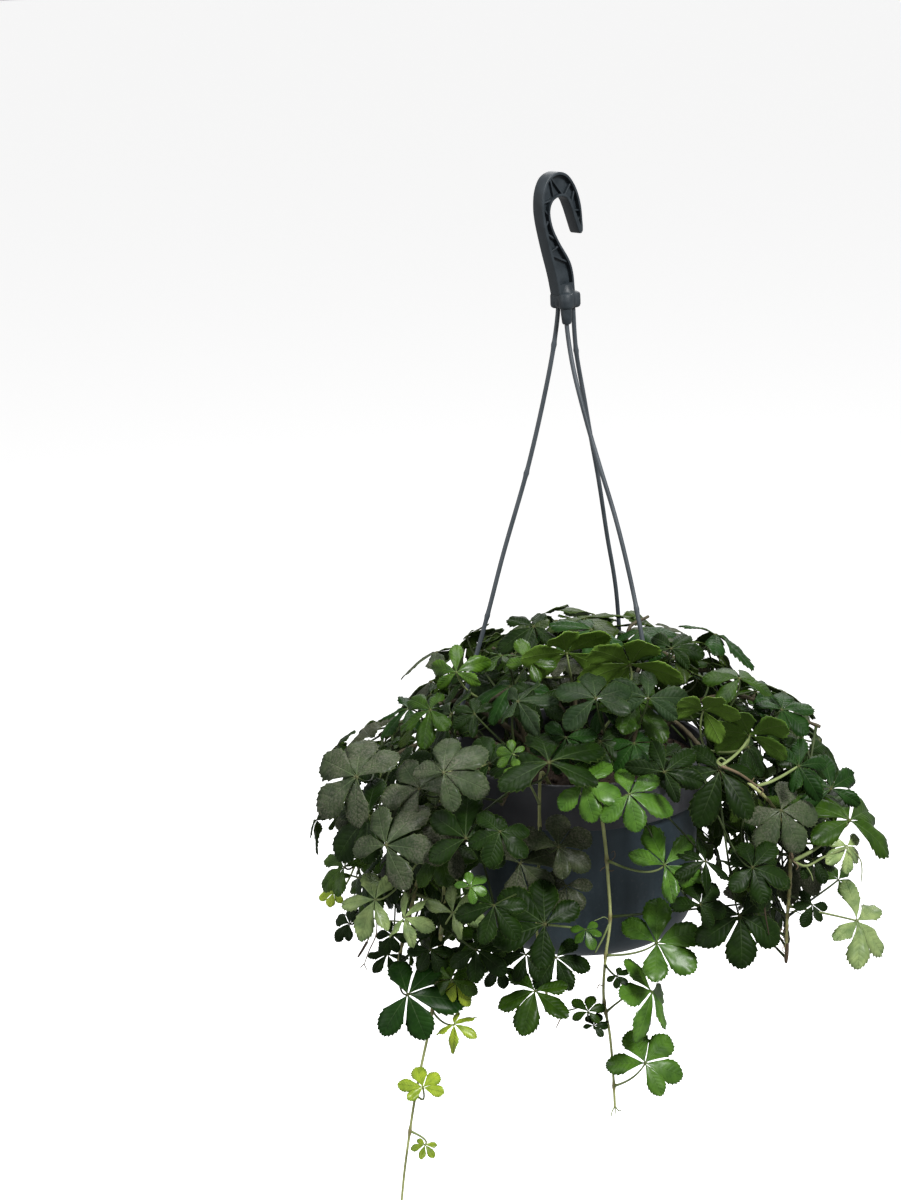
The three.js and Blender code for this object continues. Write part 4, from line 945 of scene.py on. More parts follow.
def seen_leaf(hub_pixel, tip_pixel, lean, tone, nearer=0, runner=""):
    """A leaf of the photograph, in front of its runner or in the foliage's outer surface."""
    if runner:
        depth = runner_depth(runner, hub_pixel[1]) - RUNNER_FRONT
    else:
        depth = foliage_depth(hub_pixel)
    to_eye = -ray_through(hub_pixel)
    right = np.array([1.0, 0, 0])
    above = -unit(np.cross(right, to_eye))
    hub = point_at(hub_pixel, depth) + nearer * to_eye
    facing = lean[2] if len(lean) > 2 else 1
    normal = unit(facing * to_eye + lean[0] * right + lean[1] * above)
    ray = ray_through(tip_pixel)
    forward = EYE + ray * (np.dot(hub - EYE, normal) / np.dot(ray, normal)) - hub
    shortest, longest = LEAF_LENGTHS
    length = min(longest, max(shortest, np.linalg.norm(forward)))
    return {"hub": hub, "normal": normal, "forward": unit(forward), "length": length,
        "slide": to_eye, "tone": tone, "seen": True, "pixel": hub_pixel, "nearer": nearer, "runner": runner}


def drawer(seed):
    """Even draws from 0 to 1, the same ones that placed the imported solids' leaves."""
    state = seed
    while True:
        state = state * 16807 % 2147483647
        yield state / 2147483647


def hidden_leaves():
    """The leaves that the photograph doesn't show, on a spiral over the back and the top."""
    draw = drawer(77)
    leaves = []
    for k in range(HIDDEN_LEAVES):
        share = (k + 0.5) / HIDDEN_LEAVES
        azimuth = BACK_START + (360 if share > TOP_SHARE else BACK_SWEEP) * (k * GOLDEN_SHARE % 1)
        rise = math.asin(BACK_LOWEST + BACK_SPAN * share)
        z = DOME_LEVEL + (BACK_HEIGHT if rise > 0 else SKIRT_DROP) * math.sin(rise) - BACK_DROP * next(draw)
        radius = flattened(foliage_radius(z) - BACK_INSET - BACK_INSET_SPREAD * next(draw), azimuth)
        hub = spot(azimuth, max(BACK_RADIUS, radius), z)
        hub[2] -= BACK_SLOUCH * max(0, hub[1]) * max(0, math.sin(rise))
        outward = unit(hub - FOLIAGE_MIDDLE)
        normal = unit(outward + [0, 0, BACK_LIFT])
        down = np.array([0.4 * (next(draw) - 0.5), next(draw) - 0.5, -1])
        leaves.append({"hub": hub, "normal": normal, "forward": hanging(down, normal),
            "length": BACK_LENGTH + BACK_LENGTH_SPREAD * next(draw), "slide": outward, "seen": False})
    return leaves


# Each leaf slid along its line when it was set clear of its neighbours, so its place is where the
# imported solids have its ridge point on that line, and its petiole where they have the petiole's middle.
BOWS = [(10, 8), (18, 4), (6, 14), (26, -4), (4, -12)]
PETIOLE_CORNER = 0.6 * math.sqrt(2)
PETIOLE_CORNERS = 4
PETIOLE_LIMIT = 90
SLIDE_LIMIT = 45
corners = {node: np.array([v.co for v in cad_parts[node].data.vertices]) / MM for node in stems}


def slid(leaf):
    """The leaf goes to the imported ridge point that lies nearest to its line, and takes that one's node."""
    ridge = leaf["hub"] + RIB_RISE * leaf["length"] * leaf["normal"]
    best = (1e9, 0, "")
    for node, places in corners.items():
        away = places - ridge
        along = away @ leaf["slide"]
        off = np.linalg.norm(away - along[:, None] * leaf["slide"], axis=1)
        off[abs(along) > SLIDE_LIMIT] = 1e9
        k = int(np.argmin(off))
        best = min(best, (off[k], along[k], node))
    _, shift, leaf["node"] = best
    leaf["hub"] = leaf["hub"] + shift * leaf["slide"]


def petiole(leaf, seat, bow, sunk, shares):
    """Places on a petiole, from sunk mm under the blade's ridge, round a bow behind it and to its seat."""
    start = leaf["hub"] + (RIB_RISE * leaf["length"] - sunk) * leaf["normal"]
    bend = start - bow[0] * leaf["normal"] - bow[1] * leaf["forward"]
    return [(1 - t) ** 2 * start + 2 * t * (1 - t) * bend + t * t * seat["at"] for t in shares]


def seat_found(leaf):
    """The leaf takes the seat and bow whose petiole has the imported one's corners round its middle."""
    places = corners[leaf["node"]]
    near = places[np.linalg.norm(places - leaf["hub"], axis=1) < PETIOLE_LIMIT]
    best = (1e9, None, None)
    for seat in seats:
        if seat["node"] != leaf["node"]:
            continue
        for bow in BOWS:
            middle = petiole(leaf, seat, bow, LEAF_THICK, [0.5])[0]
            away = np.sort(abs(np.linalg.norm(near - middle, axis=1) - PETIOLE_CORNER))
            worst = away[PETIOLE_CORNERS - 1]
            if worst < best[0]:
                best = (worst, seat, bow)
    _, leaf["seat"], leaf["bow"] = best
    leaf["seat"]["used"] += 1


draws = np.random.default_rng(21)
leaves = [seen_leaf(*row) for row in SEEN_LEAVES] + hidden_leaves()
for leaf in leaves:
    slid(leaf)
    seat_found(leaf)
    if not leaf["seen"]:
        leaf["tone"] = HIDDEN_TONES[draws.integers(len(HIDDEN_TONES))]

for leaf in leaves:
    pixel = leaf.get("pixel")
    leaf["hub"] = leaf["hub"] + OWN_STAND.get(pixel, 0) * leaf["slide"]
    free_turn = 0 if leaf["seen"] else draws.uniform(-HIDDEN_TURN, HIDDEN_TURN)
    turn = math.radians(OWN_TURN.get(pixel, free_turn))
    across = np.cross(leaf["forward"], leaf["normal"])
    leaf["forward"] = math.cos(turn) * leaf["forward"] + math.sin(turn) * across
    leaf["length"] *= OWN_SIZE.get(pixel, 1)


# The blades. A leaf has five thin leaflets round a small hub, each widest past the middle, with fine
# forward teeth and side veins sunk into a quilted face. A few whole leaves are modelled at a length of
# one, and every leaf of the plant is a copy of one of them with its own place, curl and tone.
LEAFLET_COLUMNS = 6
LEAFLET_BASE = [0, 0.03, 0.08, 0.15]
TEETH = 6
TEETH_START = 0.28
TEETH_END = 0.95
TOOTH_STEP = (TEETH_END - TEETH_START) / TEETH
TOOTH_PEAK = 0.7
TOOTH_OUT = 0.021
TOOTH_IN = 0.009
VEIN_SLANT = 0.8
LEAFLET_SHAPE = (1.5, 0.75)
LEAFLET_NECK = 0.014
LEAFLET_HALVES = (0.30, 0.28, 0.23)
HALF_SPREAD = 0.025
FLAT_FOLDS = (0.1, 0.35)
FOLDS = (0.35, 0.75)
EDGE_WAVES = (0.01, 0.03)
TURN_SPREAD = 7
ROLL = 0.12
CURLED_ROLL = 1.0
ROLL_SPREAD = 0.3
PITCHES = (-0.24, 0.14)
LEAFLET_SIZES = (0.86, 1.07)
TOOTH_LEAN = 0.8
FOLD_EASE = 1.1
WAVES = 2.2
TIP_START = 0.6
TIP_DROP = 0.10
KNOB_RADIUS = 0.032
KNOB_Z = -0.012
QUILTING = 0.0045
BLADE_THICK = 0.012
LEAF_KINDS = 10
FLAT_KINDS = 4
CURLED_KINDS = 2
leaflet_rows = [(s, 0) for s in LEAFLET_BASE]
for k in range(TEETH):
    leaflet_rows.append((TEETH_START + k * TOOTH_STEP, -1))
    leaflet_rows.append((TEETH_START + (k + TOOTH_PEAK) * TOOTH_STEP, 1))
leaflet_rows += [(TEETH_END, -1), (1, 0)]


def leaflet_margin(s):
    """Where a leaflet's edge is for its rib at s, as a share of its half width, and along."""
    along = s + VEIN_SLANT * s * (1 - s)
    a, b = LEAFLET_SHAPE
    widest = (a / (a + b)) ** a * (b / (a + b)) ** b
    return along**a * (1 - along) ** b / widest, along


def swung(angle, a, b):
    """The pair a, b swung by an angle from a towards minus b."""
    c, s = math.cos(angle), math.sin(angle)
    return c * a + s * b, c * b - s * a


def leaflet(half, fold, wave, phase, roll, pitch, turn, reach):
    """A leaflet by half its width, its fold, the wave of its edge, its roll and pitch, and its place."""
    plain_start()
    last = len(leaflet_rows) - 1
    bpy.ops.mesh.primitive_grid_add(x_subdivisions=LEAFLET_COLUMNS, y_subdivisions=last, size=1)
    blade = bpy.context.object
    mesh = blade.data
    flat = []
    edges = []
    for vertex in mesh.vertices:
        u = 2 * vertex.co.x
        m = abs(u)
        side = math.copysign(1, u)
        s, tooth = leaflet_rows[round((vertex.co.y + 0.5) * last)]
        width, along = leaflet_margin(s)
        x = m * max(half * width, LEAFLET_NECK)
        y = s + (along - s) * m
        if m > 0.99 and tooth:
            ahead, behind = leaflet_margin(min(1, s + 0.01)), leaflet_margin(s - 0.01)
            slope = Vector((half * (ahead[0] - behind[0]), ahead[1] - behind[1])).normalized()
            out = TOOTH_OUT if tooth > 0 else -TOOTH_IN
            x += slope.y * out + slope.x * max(out, 0) * TOOTH_LEAN
            y += -slope.x * out + slope.y * max(out, 0) * TOOTH_LEAN
        z = fold * x - FOLD_EASE * fold * x * x / half
        z -= QUILTING * tooth * math.sin(math.pi * min(1, m * 1.1))
        drop = TIP_DROP * max(0, y - TIP_START) ** 2
        z += wave * m * m * math.sin(2 * math.pi * (WAVES * s + phase + 0.3 * side)) - drop
        flat.append((0.5 + side * x, s))
        edges.append(m)
        x, z = swung(roll * y, side * x, z)
        z, y = swung(pitch, z, y)
        x, y = swung(turn, x, y)
        vertex.co = (reach * x, reach * y, reach * z)
    uv = mesh.uv_layers.active.data
    for loop in mesh.loops:
        uv[loop.index].uv = flat[loop.vertex_index]
    mesh.attributes.new("edge", "FLOAT", "POINT").data.foreach_set("value", edges)
    edit_all()
    bpy.ops.mesh.remove_doubles(threshold=0.001)
    bpy.ops.object.mode_set(mode="OBJECT")
    mesh.materials.append(leaf_face.material)
    mesh.materials.append(leaf_back.material)
    return modified(blade, "SOLIDIFY", thickness=BLADE_THICK, offset=-1, material_offset=1)


# Leaf faces are deep green, the old ones bronzed and flecked with grey, which is partly mottling and partly
# painted sheen. The veins and the thin edge are paler, and the face between the veins is quilted. The backs
# are paler and dull.
VEINS = 1 / TOOTH_STEP
VEIN_PHASE = TEETH_START / TOOTH_STEP + TOOTH_PEAK


def vein_lines(finish):
    """Side veins, the middle rib and the distance between the side veins, from a leaflet's own map."""
    flat = finish.node("ShaderNodeUVMap", {"uv_map": "UVMap"})
    across = finish.node("ShaderNodeSeparateXYZ", None, {0: flat}) - 0.5
    along = finish.node("ShaderNodeSeparateXYZ", None, {0: flat}, out=1)
    turn = ((along * VEINS - VEIN_PHASE) * math.pi).sine()
    between = abs(turn)
    side = 1 - between.clamped(0.02, 0.2)
    middle = 1 - abs(across).clamped(0.004, 0.016)
    return side, middle, between, along


def tone_of(finish):
    """A leaf's own colour, and how flecked it is, from the tone that its copy carries."""
    tone = finish.node("ShaderNodeAttribute", {"attribute_name": "tone"})
    mottle = finish.node("ShaderNodeAttribute", {"attribute_name": "tone"}, out=3)
    return tone, mottle


leaf_face = Finish("leaf_face", roughness=0.45, specular=0.05)
side, middle, between, along = vein_lines(leaf_face)
tone, mottle = tone_of(leaf_face)
blotch = leaf_face.noise(130, 3)
fine = leaf_face.noise(1000, 3)
bronzed = leaf_face.noise(42, 2).clamped(0.36, 0.58)
edge = leaf_face.node("ShaderNodeAttribute", {"attribute_name": "edge"}, out=2).clamped(0.93, 1.0)
darker = leaf_face.mix(1.0, tone, (0.6, 0.66, 0.6, 1), "MULTIPLY")
lighter = leaf_face.mix(1.0, tone, (1.5, 1.35, 1.3, 1), "MULTIPLY")
leaf_tint = leaf_face.varied(blotch, darker, lighter)
# Grey flecks where the leaf is bronzed: partly mottling, partly painted sheen
flecks_and_sheen = (fine.clamped(0.42, 0.64) * 0.7 + 0.12) * (bronzed * 0.75 + 0.25) * mottle
leaf_tint = leaf_face.mix(flecks_and_sheen, leaf_tint, (0.10, 0.094, 0.072, 1))
veined = leaf_face.mix(1.0, leaf_tint, (1.45, 1.4, 1.45, 1), "MULTIPLY")
leaf_tint = leaf_face.mix(side * 0.22, leaf_tint, veined)
pale_vein = leaf_face.mix(1.0, leaf_tint, (0.035, 0.05, 0.022, 1), "ADD")
leaf_tint = leaf_face.mix(middle * (1 - along.clamped(0.1, 0.9)) * 0.8, leaf_tint, pale_vein)
pale_edge = leaf_face.mix(1.0, leaf_tint, (0.035, 0.05, 0.014, 1), "ADD")
leaf_tint = leaf_face.mix(edge * 0.7, leaf_tint, pale_edge)
base = 1 - along.clamped(0.0, 0.06)
leaf_face.colour(leaf_face.mix(base * 0.6, leaf_tint, (0.07, 0.06, 0.025, 1)))
leaf_face.rough(0.4 + fine * 0.12 + mottle * 0.25)
leaf_face.bump(between.clamped(0.0, 0.9) * 0.6 - middle * 0.7 + fine * 0.2, 0.0003)
green = leaf_face.node("ShaderNodeSeparateColor", None, {0: tone}, out=1)
leaf_face.feed(leaf_face.shader.inputs["Coat Weight"], green.clamped(0.0, 0.1) * 0.3)
leaf_face.shader.inputs["Coat Roughness"].default_value = 0.3

leaf_back = Finish("leaf_back", roughness=0.6, specular=0.06)
side, middle, between, along = vein_lines(leaf_back)
tone, mottle = tone_of(leaf_back)
back_tint = leaf_back.mix(0.4, tone, (0.075, 0.135, 0.022, 1))
patches = leaf_back.noise(150, 3).clamped(0.3, 0.7)
back_tint = leaf_back.mix(patches * 0.4, back_tint, (0.045, 0.09, 0.012, 1))
raised = middle * 0.8 + side * 0.5
leaf_back.colour(leaf_back.mix(raised * 0.4, back_tint, (0.11, 0.16, 0.045, 1)))
leaf_back.rough(0.55 + leaf_back.noise(700, 2) * 0.15)
leaf_back.bump(raised, 0.0004)

draws = np.random.default_rng(11)
leaf_kinds = []
for k in range(LEAF_KINDS):
    flat, curled = k < FLAT_KINDS, k >= LEAF_KINDS - CURLED_KINDS
    own_half = LEAFLET_HALVES[0 if flat else 2 if curled else 1]
    own_roll = CURLED_ROLL if curled else ROLL
    parts = []
    for turn, reach in zip(LEAFLET_TURNS, LEAFLET_REACH):
        half = own_half + draws.uniform(-HALF_SPREAD, HALF_SPREAD)
        fold = draws.uniform(*(FLAT_FOLDS if flat else FOLDS))
        wave = draws.uniform(*EDGE_WAVES)
        angle = math.radians(turn + draws.uniform(-TURN_SPREAD, TURN_SPREAD))
        roll = draws.uniform(-ROLL_SPREAD, ROLL_SPREAD) + math.copysign(own_roll, turn) * (turn != 0)
        size = reach * draws.uniform(*LEAFLET_SIZES)
        phase = draws.random()
        parts.append(leaflet(half, fold, wave, phase, roll, draws.uniform(*PITCHES), angle, size))
    plain_start()
    knob_at = (0, 0, KNOB_Z)
    bpy.ops.mesh.primitive_uv_sphere_add(segments=10, ring_count=6, radius=KNOB_RADIUS, location=knob_at)
    knob = bpy.context.object
    for corner in knob.data.uv_layers.active.data:
        corner.uv = (0.5, 0)
    knob.data.materials.append(leaf_face.material)
    leaf_kinds.append(settled(joined("leaf_kind", [*parts, knob])))


def leaf_copy(leaf, kind):
    """One leaf of the plant: a copy of a kind, curled, at the leaf's hub and in the leaf's tone."""
    piece = kind.copy()
    piece.data = kind.data.copy()
    bpy.context.collection.objects.link(piece)
    count = len(piece.data.vertices)
    flat = np.empty(3 * count)
    piece.data.vertices.foreach_get("co", flat)
    x, y, z = flat.reshape(-1, 3).T
    rise = RIB_RISE + z - leaf["droop"] * (x * x + y * y) - leaf["cup"] * x * x
    across = np.cross(leaf["forward"], leaf["normal"])
    local = np.outer(x, across) + np.outer(y, leaf["forward"]) + np.outer(rise, leaf["normal"])
    placed = (leaf["hub"] + leaf["length"] * local) * MM
    piece.data.vertices.foreach_set("co", placed.ravel())
    tones = piece.data.color_attributes.new("tone", "FLOAT_COLOR", "POINT")
    tones.data.foreach_set("color", np.tile(leaf["tone"], count))
    return piece


# More leaves stand behind and between those, as they do on the plant. Small ones are listed in the same
# way, and the rest are drawn at random and kept where they have room and leave the pot's front open.
SMALL_LEAVES = [
    ((513, 754), (495, 748), (-0.2, 0.4), FRESH, 6),
    ((519, 772), (506, 786), (-0.2, 0.4), FRESH, 8),
    ((470, 887), (486, 874), (0, 0.5), BRIGHT, 12),
    ((586, 930), (592, 947), (0, 0.5), BRIGHT, 6, "runner_front_left"),
    ((556, 958), (568, 990), (0, 0.4), DARK, 0, "runner_front_left"),
    ((526, 955), (512, 980), (0, 0.4), DARK, 0, "runner_front_left"),
    ((617, 976), (628, 984), (0, 0.4), DARK, 4, "runner_front"),
    ((594, 1026), (600, 1012), (0, 0.4), DARK, 2, "runner_front"),
    ((452, 980), (450, 948), (-0.1, 0.3), FRESH, 6, "runner_left"),
    ((456, 984), (470, 1004), (0.2, 0.3), LIME, 4, "runner_left"),
    ((485, 940), (458, 953), (0, 0.4), MID, 8, "runner_left"),
    ((494, 906), (478, 942), (0, 0.3), DARK, 4),
    ((500, 832), (489, 868), (0, 0.3), DARK),
    ((566, 886), (553, 915), (0, 0.3), DUSK, 0, "runner_front_left"),
    ((476, 950), (506, 968), (0, 0.3), DARK, 6),
    ((440, 905), (424, 926), (-0.2, 0.3), DARK, 2, "runner_left"),
    ((430, 950), (444, 974), (0, 0.3), DARK, -4, "runner_left"),
    ((392, 935), (378, 952), (-0.2, 0.3), DARK, -4, "runner_far_left"),
    ((340, 873), (331, 880), (-0.4, 0.5), FRESH, 4),
    ((838, 880), (852, 868), (0.4, 0.4), MID, -6),
    ((812, 905), (803, 924), (0.3, 0.3), DARK, -4, "runner_right"),
    ((846, 846), (850, 874), (0.8, 0.2), PALE, 0, "runner_right"),
    ((566, 738), (552, 772), (-0.1, 0.4), DEEP, -16),
    ((600, 742), (604, 780), (0.1, 0.4), DARK, -20),
    ((634, 744), (646, 778), (0.1, 0.5), DEEP, -16),
    ((662, 758), (672, 792), (0.2, 0.4), DARK, -14),
    ((600, 706), (592, 736), (0, 0.5), DEEP, -20),
    ((538, 700), (530, 730), (-0.1, 0.5), DARK, -18),
]
PALE_STALKED = 0.06
SMALL_BOW = (4, 3)
EXTRA_LEAVES = 225
TRIES = 14000
EXTRA_HEIGHTS = (DOME_LEVEL - 105, DOME_LEVEL + DOME_HEIGHT - 4)
EXTRA_INSETS = (6, 60, 110)
EXTRA_RADIUS = 8
EXTRA_LENGTHS = (19, 33)
EXTRA_LIFT = 0.45
EXTRA_TILT = 0.45
EXTRA_SWING = 0.75
EXTRA_BOW = (12, 5)
EXTRA_STALK = 22
CLEARANCE = 5.0
NEIGHBOURS = 80
OVER_RIM = RIM_LEVEL + 4
LOWEST = SOIL_LEVEL - 120
DEEPEST = 138.0
USED_SEAT = 18
OTHER_PLANT = 400
NEAR_LEAF = 12
BRONZED = 0.5
SHADES = (0.86, 1.14)
DROOPS = (0.7, 1.3)
CUPS = (-0.1, 0.18)
BLADE_PLACES = ((0.35, 0), (0.65, 0), (0.95, 0), (0.62, 0.24), (0.62, -0.24))
OPEN_WINDOW = (484, 726, 690, 1140)
FOLIAGE_OUTLINE = [
    (312, 748), (350, 732), (392, 716), (414, 700), (432, 676), (438, 652), (456, 638), (484, 622),
    (500, 612), (548, 605), (600, 607), (645, 610), (672, 625), (698, 636), (728, 660), (757, 674),
    (768, 692), (804, 699), (816, 735), (846, 757), (878, 792), (894, 842), (880, 885), (884, 950),
    (850, 975), (800, 965), (770, 990), (735, 990), (450, 1010), (395, 1010), (350, 985), (320, 955),
    (312, 900),
]
# The leaves drawn inside the foliage take mostly the darkest tones, which paint the shade there
EXTRA_SHADED_TONES = [DARK, DARK, DEEP, MOSS, DARK, MOSS, MID, DUSK]


def blade_points(leaf):
    """Places in mm on a leaf's blade: one on its hub and five on each leaflet."""
    across = np.cross(leaf["forward"], leaf["normal"])
    places = [leaf["hub"] + RIB_RISE * leaf["length"] * leaf["normal"]]
    for turn, reach in zip(LEAFLET_TURNS, LEAFLET_REACH):
        t = math.radians(turn)
        for s, x in BLADE_PLACES:
            a = reach * (math.sin(t) * s + math.cos(t) * x)
            b = reach * (math.cos(t) * s - math.sin(t) * x)
            rise = RIB_RISE - LEAF_DROOP * (a * a + b * b)
            local = a * across + b * leaf["forward"] + rise * leaf["normal"]
            places.append(leaf["hub"] + leaf["length"] * local)
    return np.array(places)


def pixels_of(places):
    """The columns and the rows of the photograph that places in mm show at."""
    x, y, z = (places - EYE).T
    c, s = math.cos(EYE_PITCH), math.sin(EYE_PITCH)
    ahead, up = y * c - z * s, y * s + z * c
    a, b = x / ahead * FOCAL_PIXELS, up / ahead * FOCAL_PIXELS
    c, s = math.cos(EYE_ROLL), math.sin(EYE_ROLL)
    return CENTRE_PIXEL[0] + c * a - s * b, CENTRE_PIXEL[1] - s * a - c * b


def inside_outline(columns, rows):
    """Which of the pixels the coarse outline of the foliage holds."""
    held = np.zeros(len(columns), bool)
    for (x0, y0), (x1, y1) in zip(FOLIAGE_OUTLINE, [*FOLIAGE_OUTLINE[1:], FOLIAGE_OUTLINE[0]]):
        if y0 != y1:
            crossing = x0 + (rows - y0) * (x1 - x0) / (y1 - y0)
            held ^= ((rows > y0) != (rows > y1)) & (columns < crossing)
    return held


def nearest_seat(hub, node=""):
    """The seat nearest to a hub, where one that is used or on another plant than this counts as farther."""
    reach = []
    for seat in seats:
        farther = OTHER_PLANT if node and node != seat["node"] else 0
        reach.append(np.linalg.norm(seat["at"] - hub) + USED_SEAT * seat["used"] + farther)
    return seats[int(np.argmin(reach))]


strand_points = np.concatenate([route[::3] for route in strand_routes.values()])
taken = [blade_points(leaf) for leaf in leaves]
for row in SMALL_LEAVES:
    leaf = seen_leaf(*row)
    leaf["seat"] = nearest_seat(leaf["hub"], leaf["runner"])
    leaf["node"] = leaf["seat"]["node"]
    leaf["bow"] = SMALL_BOW
    leaves.append(leaf)
    taken.append(blade_points(leaf))


def has_room(places, hub):
    """Whether a blade is off the rim and soil, inside the outline, not before the pot and near nothing."""
    heights = places[:, 2]
    over_pot = np.hypot(places[:, 0] - AXIS_X, places[:, 1]) < POT_CLEAR
    if np.any((heights < OVER_RIM) & over_pot) or np.any(heights < LOWEST):
        return False
    columns, rows = pixels_of(places)
    left, right, top, bottom = OPEN_WINDOW
    shown = (columns > left) & (columns < right) & (rows > top) & (rows < bottom) & (places[:, 1] < 0)
    if np.any(shown) or not np.all(inside_outline(columns, rows)):
        return False
    others = np.concatenate([*taken, strand_points])
    others = others[np.linalg.norm(others - hub, axis=1) < NEIGHBOURS]
    return len(others) == 0 or np.min(distances(places, others)) >= CLEARANCE


draws = np.random.default_rng(8)
made = 0
for k in range(TRIES):
    if made == EXTRA_LEAVES:
        break
    azimuth = 360 * draws.random()
    z = draws.uniform(*EXTRA_HEIGHTS)
    least, some, most = EXTRA_INSETS
    radius = foliage_radius(z) - draws.uniform(least, some + (most - some) * draws.random())
    radius = flattened(radius, azimuth)
    if radius < EXTRA_RADIUS:
        continue
    hub = spot(azimuth, radius, z)
    length = draws.uniform(*EXTRA_LENGTHS)
    normal = unit(unit(hub - FOLIAGE_MIDDLE) + [0, 0, EXTRA_LIFT] + draws.normal(0, EXTRA_TILT, 3))
    down = np.array([0, 0, -1]) + draws.normal(0, EXTRA_SWING, 3)
    leaf = {"hub": hub, "normal": normal, "forward": hanging(down, normal), "length": length}
    places = blade_points(leaf)
    if not has_room(places, hub):
        continue
    leaf["seat"] = nearest_seat(hub - EXTRA_STALK * normal)
    leaf["node"] = leaf["seat"]["node"]
    leaf["bow"] = EXTRA_BOW
    leaf["tone"] = EXTRA_SHADED_TONES[draws.integers(len(EXTRA_SHADED_TONES))]
    leaf["seat"]["used"] += 1
    leaf["hub"] = hub - [0, max(0, places[:, 1].max() - DEEPEST), 0]
    leaves.append(leaf)
    taken.append(places)
    made += 1

for leaf in leaves:
    shade = draws.uniform(*SHADES)
    leaf["tone"] = (*(np.array(leaf["tone"][:3]) * shade), leaf["tone"][3])
    leaf["droop"] = LEAF_DROOP * draws.uniform(*DROOPS)
    leaf["cup"] = draws.uniform(*CUPS)
    first, end = 0, LEAF_KINDS
    if leaf.get("pixel") in OWN_CURL:
        first = LEAF_KINDS - CURLED_KINDS
    elif leaf["tone"][3] > BRONZED or leaf.get("nearer", 0) >= NEAR_LEAF:
        end = FLAT_KINDS
    leaf["kind"] = draws.integers(first, end)


# The stems' finishes: corky brown bark on the cuttings, pale green with brown joints on the runners,
# and slender stalks in four tones, for the petioles, tendrils, rootlets and dry ends.
bark = Finish("old_stem", roughness=0.7, specular=0.25)
bark.colour(bark.varied(bark.noise(240, 4), (0.026, 0.020, 0.011, 1), (0.06, 0.052, 0.026, 1)))
bark.rough(0.6 + bark.noise(500, 2) * 0.2)
bark.bump(bark.noise(700, 4), 0.0004)
green_stem = Finish("runner_stem", roughness=0.5, specular=0.35)
joint = green_stem.node("ShaderNodeAttribute", {"attribute_name": "joint"}, out=2)
stem_tint = green_stem.varied(green_stem.noise(140, 3), (0.20, 0.22, 0.075, 1), (0.33, 0.36, 0.15, 1))
green_stem.colour(green_stem.mix(joint * 0.85, stem_tint, (0.10, 0.052, 0.022, 1)))
green_stem.rough(0.45 + green_stem.noise(400, 2) * 0.15)
green_stem.bump(green_stem.noise(900, 3), 0.0002)
STALK_TINTS = {
    "dark": ((0.016, 0.026, 0.007, 1), (0.034, 0.050, 0.014, 1)),
    "pale": ((0.10, 0.135, 0.042, 1), (0.175, 0.215, 0.085, 1)),
    "root": ((0.070, 0.052, 0.030, 1), (0.135, 0.100, 0.060, 1)),
    "dry": ((0.020, 0.014, 0.009, 1), (0.050, 0.034, 0.020, 1)),
}
stalks = {}
for name, (deep, light) in STALK_TINTS.items():
    stalk = Finish(f"stalk_{name}", roughness=0.5, specular=0.2)
    stalk.colour(stalk.varied(stalk.noise(120, 3), deep, light))
    stalk.rough(0.45 + stalk.noise(600, 2) * 0.15)
    stalk.bump(stalk.noise(1200, 2), 0.0001)
    stalks[name] = stalk

